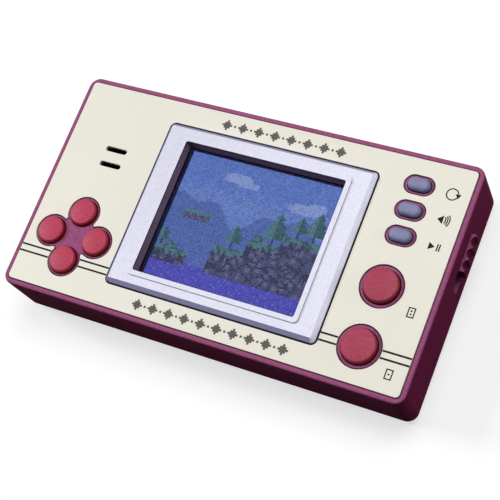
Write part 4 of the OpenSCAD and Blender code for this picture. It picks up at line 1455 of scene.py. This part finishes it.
@dataclass
class DisplayPicture:
    """Small landscape on the display: sky, clouds, hills, stepped rocks and water, in square cells.

    Its places and sizes are in cells from the lower left, apart from its width and depth.
    """

    columns: int = 84
    rows: int = 68
    width: float = 42.6
    depth: float = 34.5
    # Column where each step of the rock starts, and its top.
    steps: tuple[tuple[int, int], ...] = ((0, 17), (20, 9), (31, 24), (47, 31), (63, 37))
    water: int = 9
    # Middle, half width and half height of each cloud.
    clouds: tuple[tuple[int, int, int, int], ...] = (
        (30, 58, 8, 3),
        (36, 56, 6, 2),
        (68, 51, 9, 3),
        (74, 53, 5, 3),
    )
    # Middle and radius of each bush.
    bushes: tuple[tuple[int, int, int], ...] = ((51, 31, 3), (9, 17, 3))
    # Column, foot and height of each pine.
    pines: tuple[tuple[int, int, int], ...] = (
        (39, 24, 12),
        (58, 31, 16),
        (69, 37, 11),
        (77, 37, 15),
        (4, 17, 9),
    )
    trunk: int = 3
    # A pine's half width for each row below its top, the rows of a tier, and what each of them adds.
    branch_spread: float = 0.42
    tier_rows: int = 4
    tier_spread: float = 0.4
    # Left end, right end and underside of the floating shelf of rock.
    shelf: tuple[int, int, int] = (10, 24, 33)
    shelf_depth: int = 5
    shelf_grass: int = 2
    grass: int = 4
    # Width and depth of a stone, and how near a joint or a stone's middle a cell has to be.
    stone_size: tuple[int, int] = (5, 4)
    stone_joint: float = 0.8
    stone_core: float = 1.1
    hill_row: int = 40
    haze_row: int = 50
    # Dark cells at the sides, and at the top and bottom.
    border: tuple[int, int] = (2, 1)
    layer: str = "picture"

    def ground(self, column: int) -> int:
        """Height of the rock in a column, in cells."""
        return [top for start, top in self.steps if column >= start][-1]

    def stone(self, column: int, row: int) -> Tone:
        """Colours the rock, as stones with dark joints.

        Args:
            column: Cells from the left.
            row: Cells from the bottom.

        Returns:
            The cell's colour.
        """
        wide, deep = self.stone_size
        near, far = sorted(
            math.hypot(
                column - wide * i - wide * noise.cell(Vector((i, j, 0.5))),
                row - deep * j - deep * noise.cell(Vector((i, j, 7.5))),
            )
            for i in range(column // wide - 1, column // wide + 2)
            for j in range(row // deep - 1, row // deep + 2)
        )[:2]
        if far - near < self.stone_joint:
            return Tone.ROCK_DARK
        return Tone.ROCK_PALE if near < self.stone_core else Tone.ROCK

    def in_pine(self, column: int, row: int) -> Tone | None:
        """Colours the pines, in tiers that widen towards the foot.

        Args:
            column: Cells from the left.
            row: Cells from the bottom.

        Returns:
            The cell's colour, or None beside the pines.
        """
        for x, foot, height in self.pines:
            rise, left = row - foot, height - row + foot
            if 0 <= rise < self.trunk and column == x:
                return Tone.TRUNK
            half = left * self.branch_spread + left % self.tier_rows * self.tier_spread
            if rise >= self.trunk and left > 0 and abs(column - x) <= half:
                return Tone.GRASS if column < x else Tone.GRASS_DARK
        return None

    def tone(self, column: int, row: int) -> Tone:
        """Colour of one cell.

        Args:
            column: Cells from the left.
            row: Cells from the bottom.

        Returns:
            The colour.
        """
        beside, over = self.border
        if not (beside <= column < self.columns - beside and over <= row < self.rows - over):
            return Tone.BORDER
        speck = noise.noise(Vector((column * 0.37, row * 0.41, 3.0)))
        top = self.ground(column)
        if row < self.water or row < self.water + 2 * (top <= self.water):
            return Tone.FOAM if (column * 3 + row * 7) % 23 < 2 else Tone.WATER
        if row < top:
            if row >= top - self.grass + column * 5 % 3:
                return Tone.GRASS if speck > -0.1 else Tone.GRASS_DARK
            return self.stone(column, row)
        left, right, level = self.shelf
        if left <= column < right and level <= row < level + self.shelf_depth:
            if row > level + self.shelf_grass:
                return Tone.GRASS
            return Tone.ROCK_PALE if (column + row) % 4 == 0 else Tone.ROCK
        if any((column - x) ** 2 + (row - y) ** 2 < r * r for x, y, r in self.bushes):
            return Tone.GRASS_DARK if speck > 0 else Tone.GRASS
        pine = self.in_pine(column, row)
        if pine is not None:
            return pine
        if any(((column - x) / w) ** 2 + ((row - y) / h) ** 2 < 1 for x, y, w, h in self.clouds):
            return Tone.CLOUD
        if row < self.hill_row + 5 * math.sin(column / 8) + 3 * math.sin(column / 3.7 + 1):
            return Tone.HILL
        return Tone.SKY if row > self.haze_row + speck * 8 else Tone.HAZE

    def build(self, middle: Vector, finish: BacklitCells) -> bpy.types.Object:
        """Makes the picture as a grid of coloured cells.

        Args:
            middle: Place of its centre, in metres.
            finish: Its glow.

        Returns:
            The picture.
        """
        bm = bmesh.new()
        size = Matrix.Diagonal((self.width * MM, self.depth * MM, 1, 1))
        bmesh.ops.create_grid(
            bm,
            x_segments=self.columns,
            y_segments=self.rows,
            size=0.5,
            matrix=Matrix.Translation(middle) @ size,
        )
        layer = bm.loops.layers.float_color.new(self.layer)
        for face in bm.faces:
            at = face.calc_center_median() - middle
            column = int((at.x / (self.width * MM) + 0.5) * self.columns)
            row = int((at.y / (self.depth * MM) + 0.5) * self.rows)
            colour = linear(self.tone(column, row).value)
            for corner in face.loops:
                corner[layer] = colour
        return piece(bm, "display_picture", finish, "console")


@dataclass
class ScreenUnit:
    """Trim, lens and the display under them."""

    trim: SilverLacquer = SilverLacquer("Lavender silver lacquer on ABS", "#D4D4E6", "#E4E4F4", "#7674A6")
    lens: ClearAcrylic = ClearAcrylic("Clear acrylic sheet")
    tape: PorousSheet = PorousSheet("Black foam tape", "#17151A", "#0A090C")
    cushion: PorousSheet = PorousSheet("Grey foam cushion", "#3C3B40", "#1C1B1F")
    glass: MouldedPlastic = MouldedPlastic(
        "Display glass with black mask",
        "#0B0A10",
        "#0E0D13",
        "#1C1B24",
        roughness=0.14,
        pebble_depth_mm=0.001,
    )
    guide: MouldedPlastic = MouldedPlastic(
        "White acrylic light guide", "#E9EDF0", "#F1F4F5", "#FFFFFF", roughness=0.2, pebble_depth_mm=0.02
    )
    flex: PrintedTracks = PrintedTracks(
        "Amber polyimide with copper tracks", "#A8641E", "#C88A3A", "#D8A860", row_mm=0.6
    )
    socket: MouldedPlastic = MouldedPlastic("Ivory nylon socket", "#D9CFB4", "#DED6BE", "#EFE9D8")
    picture: DisplayPicture = field(default_factory=DisplayPicture)
    glow: BacklitCells = BacklitCells("Back-lit liquid crystal cells", "picture")
    # How far the picture stands off the glass, and the liner off the lens.
    lift: float = 0.04
    # The liner's mauve is the trim's lavender darkened: painted shade on the window's walls.
    liner: MouldedPlastic = MouldedPlastic(
        "Mauve ABS window liner", "#735E77", "#7C6880", "#A296A6", roughness=0.5, specular=0.1
    )
    # How far the liner's top is inside the lens's outline, across and along the face.
    liner_in: tuple[float, float] = (1.8, 1.15)
    liner_wall: float = 0.12
    liner_draft: float = 0.5
    # Height of the trim's lip over the liner.
    lip: float = 0.65

    def line_window(self) -> None:
        """Lines the window's walls from the lens up to the trim's lip."""
        low, high = (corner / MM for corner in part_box("screen_lens"))
        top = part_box("screen_bezel")[1].z / MM - self.lip
        middle, size = (low + high) / 2, high - low
        middle.z = high.z + self.lift
        width, depth = (size[axis] - 2 * self.liner_in[axis] for axis in (0, 1))
        foot = Matrix.Diagonal((width - 2 * self.liner_draft, depth - 2 * self.liner_draft, 1, 1))
        bm = bmesh.new()
        bmesh.ops.create_grid(
            bm, x_segments=1, y_segments=1, size=0.5, matrix=Matrix.Translation(middle) @ foot
        )
        bmesh.ops.delete(bm, geom=bm.faces[:], context="FACES_ONLY")
        walls = bmesh.ops.extrude_edge_only(bm, edges=bm.edges[:])["geom"]
        risen = [item for item in walls if isinstance(item, bmesh.types.BMVert)]
        bmesh.ops.translate(bm, verts=risen, vec=(0, 0, top - middle.z))
        spread = tuple(span / (span - 2 * self.liner_draft) for span in (width, depth))
        bmesh.ops.scale(bm, verts=risen, vec=(*spread, 1), space=Matrix.Translation(-middle))
        bmesh.ops.recalc_face_normals(bm, faces=bm.faces[:])
        bmesh.ops.solidify(bm, geom=bm.faces[:], thickness=self.liner_wall)
        bmesh.ops.recalc_face_normals(bm, faces=bm.faces[:])
        bmesh.ops.scale(bm, vec=(MM, MM, MM), verts=bm.verts[:])
        piece(bm, "window_liner", self.liner, "console")

    def build(self) -> None:
        """Dresses the screen's nodes, lines the window and lays the picture on the display glass."""
        self.line_window()
        plate_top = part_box("face_plate")[1].z / MM
        low, high = (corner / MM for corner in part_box("screen_bezel"))
        span = (low.x, (low.x + high.x) / 2)
        for finish, node in (
            (replace(self.trim, joint_shade_top_mm=plate_top, painted_light_mm=span), "screen_bezel"),
            (self.lens, "screen_lens"),
            (self.tape, "lens_tape"),
            (self.cushion, "lcd_cushion"),
            (self.glass, "lcd_glass"),
            (self.guide, "lcd_backlight"),
            (self.flex, "lcd_flex"),
            (self.socket, "lcd_connector"),
        ):
            dress(finish, node)
        low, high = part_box("lcd_glass")
        middle = (low + high) / 2
        middle.z = high.z + self.lift * MM
        self.picture.build(middle, self.glow)


@dataclass
class ButtonSet:
    """Nine caps with their contact pills and rubber sheets."""

    # Dark base colours as painted shade on the caps' sides, with a paler painted highlight on their tops.
    direction: CapPlastic = CapPlastic(
        "Red ABS, moulded direction caps",
        "#7E0418",
        "#86081D",
        "#CC7686",
        specular=0.25,
        painted_top_light="#BA3A58",
    )
    action: CapPlastic = CapPlastic(
        "Red ABS, moulded action caps",
        "#680214",
        "#700618",
        "#C26C7C",
        specular=0.25,
        painted_top_light="#AA3B55",
    )
    menu: CapPlastic = CapPlastic(
        "Grey ABS, moulded menu caps",
        "#5C5F86",
        "#64678E",
        "#A0A3C4",
        roughness=0.5,
        specular=0.3,
        painted_top_light="#8487AD",
    )
    pill: PorousSheet = PorousSheet(
        "Carbon-filled silicone", "#18181A", "#101012", pore_mm=0.3, depth_mm=0.02
    )
    sheet: PorousSheet = PorousSheet(
        "Pale silicone rubber", "#C9CBCE", "#BFC1C5", pore_mm=1.2, depth_mm=0.02, roughness=0.6, soft=0.2
    )
    directions: tuple[str, ...] = ("dpad_up", "dpad_down", "dpad_left", "dpad_right")
    actions: tuple[str, ...] = ("upper_action", "lower_action")
    menus: tuple[str, ...] = ("reset", "volume", "pause")
    sheet_thickness: float = 0.6
    # Loose triangles of a CAD sheet are welded within the first, and its underside is flat to the second.
    sheet_weld: float = 0.001
    sheet_flat: float = 0.01
    dome_base: float = 3.2
    dome_top: float = 2.0
    dome_wall: float = 0.45
    dome_steps: int = 40

    def build(self) -> None:
        """Dresses the caps, the pills and the sheets."""
        groups = (
            (self.direction, self.directions, "dpad_membrane"),
            (self.action, self.actions, "action_membrane"),
            (self.menu, self.menus, "menu_membrane"),
        )
        for finish, names, membrane in groups:
            dress(finish, *[f"{name}_button" for name in names])
            dress(self.pill, *[f"{name}_pill" for name in names])
            dress(self.sheet, membrane)
            self.rubber_sheet(membrane)
            for name in names:
                self.rubber_dome(name, membrane)

    def rubber_sheet(self, membrane: str) -> None:
        """The flat sheet of one membrane, with its holes, from the underside of the CAD node.

        Args:
            membrane: CAD node of the sheet.
        """
        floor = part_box(membrane)[0].z
        bm = bmesh.new()
        bm.from_mesh(frame["nodes"][membrane].data)
        bmesh.ops.remove_doubles(bm, verts=bm.verts[:], dist=self.sheet_weld * MM)
        limit = floor + self.sheet_flat * MM
        raised = [face for face in bm.faces if any(vert.co.z > limit for vert in face.verts)]
        bmesh.ops.delete(bm, geom=raised, context="FACES")
        thicken(bm, self.sheet_thickness * MM)
        made = piece(bm, membrane.replace("membrane", "rubber_sheet"), self.sheet, "console")
        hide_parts(membrane)

    def rubber_dome(self, name: str, membrane: str) -> None:
        """One dome, from its foot on the sheet up to its plunger under the cap.

        Args:
            name: Body of the button.
            membrane: CAD node of the sheet that the dome stands on.
        """
        low, high = (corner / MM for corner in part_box(f"{name}_pill"))
        middle, roof = (low + high) / 2, high.z
        sole, top = (corner.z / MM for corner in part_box(membrane))
        foot, wall = sole + self.sheet_thickness, self.dome_wall
        section = (
            (0.0, roof),
            (self.dome_top - wall, roof),
            (self.dome_base - wall, foot),
            (self.dome_base, foot),
            (self.dome_top, roof + wall),
            (self.dome_top, top),
            (0.0, top),
        )
        bm = bmesh.new()
        points = [bm.verts.new((middle.x + r, middle.y, z)) for r, z in section]
        edges = [bm.edges.new(pair) for pair in zip(points, points[1:])]
        bmesh.ops.spin(
            bm,
            geom=[*points, *edges],
            cent=(middle.x, middle.y, 0),
            axis=(0, 0, 1),
            angle=math.tau,
            steps=self.dome_steps,
            use_merge=True,
        )
        bmesh.ops.remove_doubles(bm, verts=bm.verts[:], dist=WELD_MM)
        bmesh.ops.recalc_face_normals(bm, faces=bm.faces[:])
        bmesh.ops.scale(bm, vec=(MM, MM, MM), verts=bm.verts[:])
        way = (name, Vector((0, 0, foot * MM)), Vector((0, 0, roof * MM)))
        piece(bm, f"{name}_dome", self.sheet, "console", bend=way)


@dataclass
class BoardUnit:
    """Printed board with its chips, switch, speaker and leads."""

    board: PrintedTracks = PrintedTracks("Green solder mask over copper", "#1F5B3A", "#2F7A4E", "#CFA85A")
    resin: MouldedPlastic = MouldedPlastic(
        "Black chip resin", "#1B1B1E", "#222226", "#3A3A40", roughness=0.35, pebble_mm=0.8
    )
    can: PlatedSteel = PlatedSteel("Stamped steel switch and speaker can")
    cone: PorousSheet = PorousSheet("Black cone paper", "#232226", "#151417", pore_mm=0.7, depth_mm=0.04)
    gasket: PorousSheet = PorousSheet("Black foam gasket", "#1D1B20", "#0D0C0F")
    lever: MouldedPlastic = MouldedPlastic("Black nylon lever", "#1C1B1F", "#232226", "#4A494F")
    speaker_lead: ZonedSleeve = ZonedSleeve(
        "Speaker lead PVC, black and red", Side.Y, ((-60.0, "#1B1A1D", 0.0), (9.1, "#A8202A", 0.0))
    )
    battery_lead: ZonedSleeve = ZonedSleeve(
        "Battery lead PVC, red and black", Side.X, ((-60.0, "#A8202A", 0.0), (1.7, "#1B1A1D", 0.0))
    )
    lead_radius: float = 0.4
    # A speaker lead's straight end, where it turns (along and up), and where it lies flat.
    lead_end: float = 0.9
    lead_turn: tuple[float, float] = (0.6, 0.35)
    lead_flat: float = 2.0
    # A battery lead's points from its tag: back from where it rises, and up.
    tag_route: tuple[tuple[float, float], ...] = ((2.1, 0.0), (1.2, 0.0), (0.3, 0.6), (0.0, 1.7))

    def build(self) -> None:
        """Dresses the board and everything soldered to it."""
        dress(self.board, "main_board")
        dress(self.resin, "chip_blob", "board_chips")
        dress(self.can, "slide_switch", "speaker")
        dress(self.cone, "speaker_cone")
        dress(self.gasket, "speaker_gasket")
        dress(self.lever, "switch_lever")
        dress(self.speaker_lead, "speaker_wires")
        dress(self.battery_lead, "battery_wires")
        self.speaker_leads()
        self.battery_leads()

    def speaker_leads(self) -> None:
        """Two leads from the back of the speaker to the underside of the board."""
        low, high = (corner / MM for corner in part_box("speaker_wires"))
        r, dip = self.lead_radius, low.z + self.lead_radius
        along, up = self.lead_turn
        routes = []
        for y in (low.y + r, high.y - r):
            ends = []
            for x, way, node in ((low.x + r, 1, "speaker"), (high.x - r, -1, "main_board")):
                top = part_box(node)[0].z / MM
                ends.append(
                    [
                        (x, y, top),
                        (x, y, top - self.lead_end),
                        (x + way * along, y, dip + up),
                        (x + way * self.lead_flat, y, dip),
                    ]
                )
            routes.append([*ends[0], *reversed(ends[1])])
        leads = piece(round_leads(routes, r), "speaker_leads", self.speaker_lead, "console")
        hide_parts("speaker_wires")

    def battery_leads(self) -> None:
        """A lead from each end contact's tag, out and up to the underside of the board."""
        low, high = (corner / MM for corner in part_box("battery_wires"))
        r = self.lead_radius
        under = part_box("main_board")[0].z / MM
        start = low.z + r
        routes = [
            [*[(x - way * back, y, start + up) for back, up in self.tag_route], (x, y, under)]
            for x, y, way in ((low.x + r, low.y + r, -1), (high.x - r, high.y - r, 1))
        ]
        leads = piece(round_leads(routes, r), "battery_leads", self.battery_lead, "console")
        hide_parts("battery_wires")


@dataclass
class PowerUnit:
    """Three cells with their contacts and springs."""

    contact: PlatedSteel = PlatedSteel("Nickel-plated contact steel", "#D4D1C9")
    jacket: str = "#274B66"
    band: str = "#B8814A"
    cap: str = "#C8C6C0"
    band_length: float = 9.0
    band_metal: float = 0.6
    cap_length: float = 1.2
    spring: PlatedSteel = PlatedSteel("Nickel-plated spring wire", "#D9D6CE", stretch=(1.0, 1.0, 1.0))
    spring_radius: float = 2.8
    spring_length: float = 5.3
    spring_turns: int = 3
    spring_wire: float = 0.35
    spring_gap: float = 0.1
    wire_sides: int = 12
    turn_steps: int = 32

    def build(self) -> None:
        """Dresses the contacts and springs, and gives each cell a sleeve whose band marks its cap end."""
        dress(self.contact, "battery_springs", "positive_contact", "negative_contact", "bridge_contacts")
        self.springs()
        for name, side in (("battery_1", -1), ("battery_2", 1), ("battery_3", -1)):
            low, high = (corner.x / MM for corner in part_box(name))
            if side < 0:
                zones = (
                    (low, self.cap, 1.0),
                    (low + self.cap_length, self.band, self.band_metal),
                    (low + self.cap_length + self.band_length, self.jacket, 0.0),
                )
            else:
                zones = (
                    (low, self.jacket, 0.0),
                    (high - self.cap_length - self.band_length, self.band, self.band_metal),
                    (high - self.cap_length, self.cap, 1.0),
                )
            dress(ZonedSleeve(f"Cell sleeve of {name}", Side.X, zones), name)

    def springs(self) -> None:
        """A round-wire coil between the plain end of each cell and its contact."""
        bm = bmesh.new()
        wire = self.spring_wire
        run = self.spring_length - 2 * wire
        for name, way in (("battery_1", 1), ("battery_2", -1), ("battery_3", 1)):
            low, high = (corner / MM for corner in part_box(name))
            middle = (low + high) / 2
            end = high.x if way > 0 else low.x
            start = Vector((end + way * (self.spring_gap + wire), middle.y, middle.z))
            ring = bmesh.ops.create_circle(
                bm,
                segments=self.wire_sides,
                radius=wire,
                matrix=Matrix.Translation(start + Vector((0, self.spring_radius, 0))),
            )["verts"]
            edges = dict.fromkeys(edge for vert in ring for edge in vert.link_edges)
            steps = self.turn_steps * self.spring_turns
            last = bmesh.ops.spin(
                bm,
                geom=[*ring, *edges],
                cent=start,
                axis=(1, 0, 0),
                dvec=(way * run / steps, 0, 0),
                angle=math.tau * self.spring_turns,
                steps=steps,
            )["geom_last"]
            for side in (ring, [v for v in last if isinstance(v, bmesh.types.BMVert)]):
                bmesh.ops.contextual_create(bm, geom=side)
        bmesh.ops.recalc_face_normals(bm, faces=bm.faces[:])
        bmesh.ops.scale(bm, vec=(MM, MM, MM), verts=bm.verts[:])
        for face in bm.faces:
            face.smooth = True
        coils = piece(bm, "spring_coils", self.spring, "console")
        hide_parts("battery_springs")


# Studio


@dataclass
class Lamp:
    """A soft box. Its place and size are in metres and its power in watts."""

    name: str
    place: tuple[float, float, float]
    size: float
    power: float
    colour: str = "#FFFFFF"

    def build(self) -> None:
        """Hangs the lamp and turns it to the object."""
        data = bpy.data.lights.new(self.name, "AREA")
        data.energy, data.size = self.power, self.size
        data.color = linear(self.colour)[:3]
        lamp = bpy.data.objects.new(self.name, data)
        lamp.location = self.place
        lamp.rotation_euler = (-Vector(self.place)).to_track_quat("-Z", "Y").to_euler()
        bpy.context.scene.collection.objects.link(lamp)
        LOG.info("lamp %s, %.1f W", self.name, self.power)


@dataclass
class Studio:
    """Camera at the photograph's angle, pale floor and soft light.

    The roll is in degrees and the floor's size in metres.
    """

    camera: tuple[float, float, float] = (130.379, -83.076, 296.134)
    target: tuple[float, float, float] = (6.281, -4.543, 17.9)
    roll: float = -38.775
    lens: float = 95.651
    sensor: float = 36.0
    near: float = 10.0
    lamps: tuple[Lamp, ...] = (
        Lamp("overhead_box", (0.14, 0.34, 0.9), 0.55, 5.5),
        Lamp("left_box", (-1.45, 0.05, 1.3), 0.7, 22.0),
        Lamp("right_box", (0.97, 0.26, 0.15), 0.27, 1.75),
    )
    ambient: float = 0.025
    floor: StudioFloor = StudioFloor("Pale studio floor")
    floor_size: float = 3.0
    floor_drop: float = 0.05

    def build(self) -> None:
        """Sets up everything round the object."""
        scene = bpy.context.scene
        scene.view_settings.view_transform = "Standard"
        self.place_camera(scene)
        self.lay_floor(scene)
        self.fill_air(scene)
        for lamp in self.lamps:
            lamp.build()

    def place_camera(self, scene: bpy.types.Scene) -> None:
        """Puts the camera where the photograph was taken from.

        Args:
            scene: The scene that takes the camera.
        """
        data = bpy.data.cameras.new("photo_camera")
        data.lens, data.sensor_width, data.sensor_fit = self.lens, self.sensor, "HORIZONTAL"
        data.clip_start = self.near * MM
        camera = bpy.data.objects.new("photo_camera", data)
        place, target = Vector(self.camera) * MM, Vector(self.target) * MM
        level = (target - place).to_track_quat("-Z", "Y").to_matrix().to_4x4()
        turned = level @ Matrix.Rotation(math.radians(self.roll), 4, "Z")
        camera.matrix_world = Matrix.Translation(place) @ turned
        scene.collection.objects.link(camera)
        scene.camera = camera

    def lay_floor(self, scene: bpy.types.Scene) -> None:
        """Lays the floor just under the object's back.

        Args:
            scene: The scene that takes the floor.
        """
        bm = bmesh.new()
        under = Matrix.Translation((0, 0, -self.floor_drop * MM))
        bmesh.ops.create_grid(bm, x_segments=1, y_segments=1, size=self.floor_size, matrix=under)
        data = bpy.data.meshes.new("studio_floor")
        bm.to_mesh(data)
        bm.free()
        data.materials.append(self.floor.material())
        floor = bpy.data.objects.new("studio_floor", data)
        scene.collection.objects.link(floor)

    def fill_air(self, scene: bpy.types.Scene) -> None:
        """A dim even light, white where the camera, a reflection or a clear piece looks past the floor.

        Args:
            scene: The scene that takes the light.
        """
        world = bpy.data.worlds.new("studio_air")
        world.use_nodes = True
        tree = world.node_tree
        tree.nodes.clear()
        _, seen = looked_at(tree)
        level = add_node(tree, "ShaderNodeMapRange", {"Value": seen, "To Min": self.ambient, "To Max": 1.0})
        white = linear("#FFFFFF")
        air = add_node(tree, "ShaderNodeBackground", {"Color": white, "Strength": level.outputs[0]})
        add_node(tree, "ShaderNodeOutputWorld", {"Surface": air.outputs[0]})
        scene.world = world


def main() -> None:
    """Builds the sub-assemblies and the studio."""
    logging.basicConfig(level=logging.INFO, format="%(name)s: %(message)s")
    for part in (Housing(), FacePlate(), ScreenUnit(), ButtonSet(), BoardUnit(), PowerUnit(), Studio()):
        LOG.info("building %s", type(part).__name__)
        part.build()


if __name__ == "__main__":
    main()
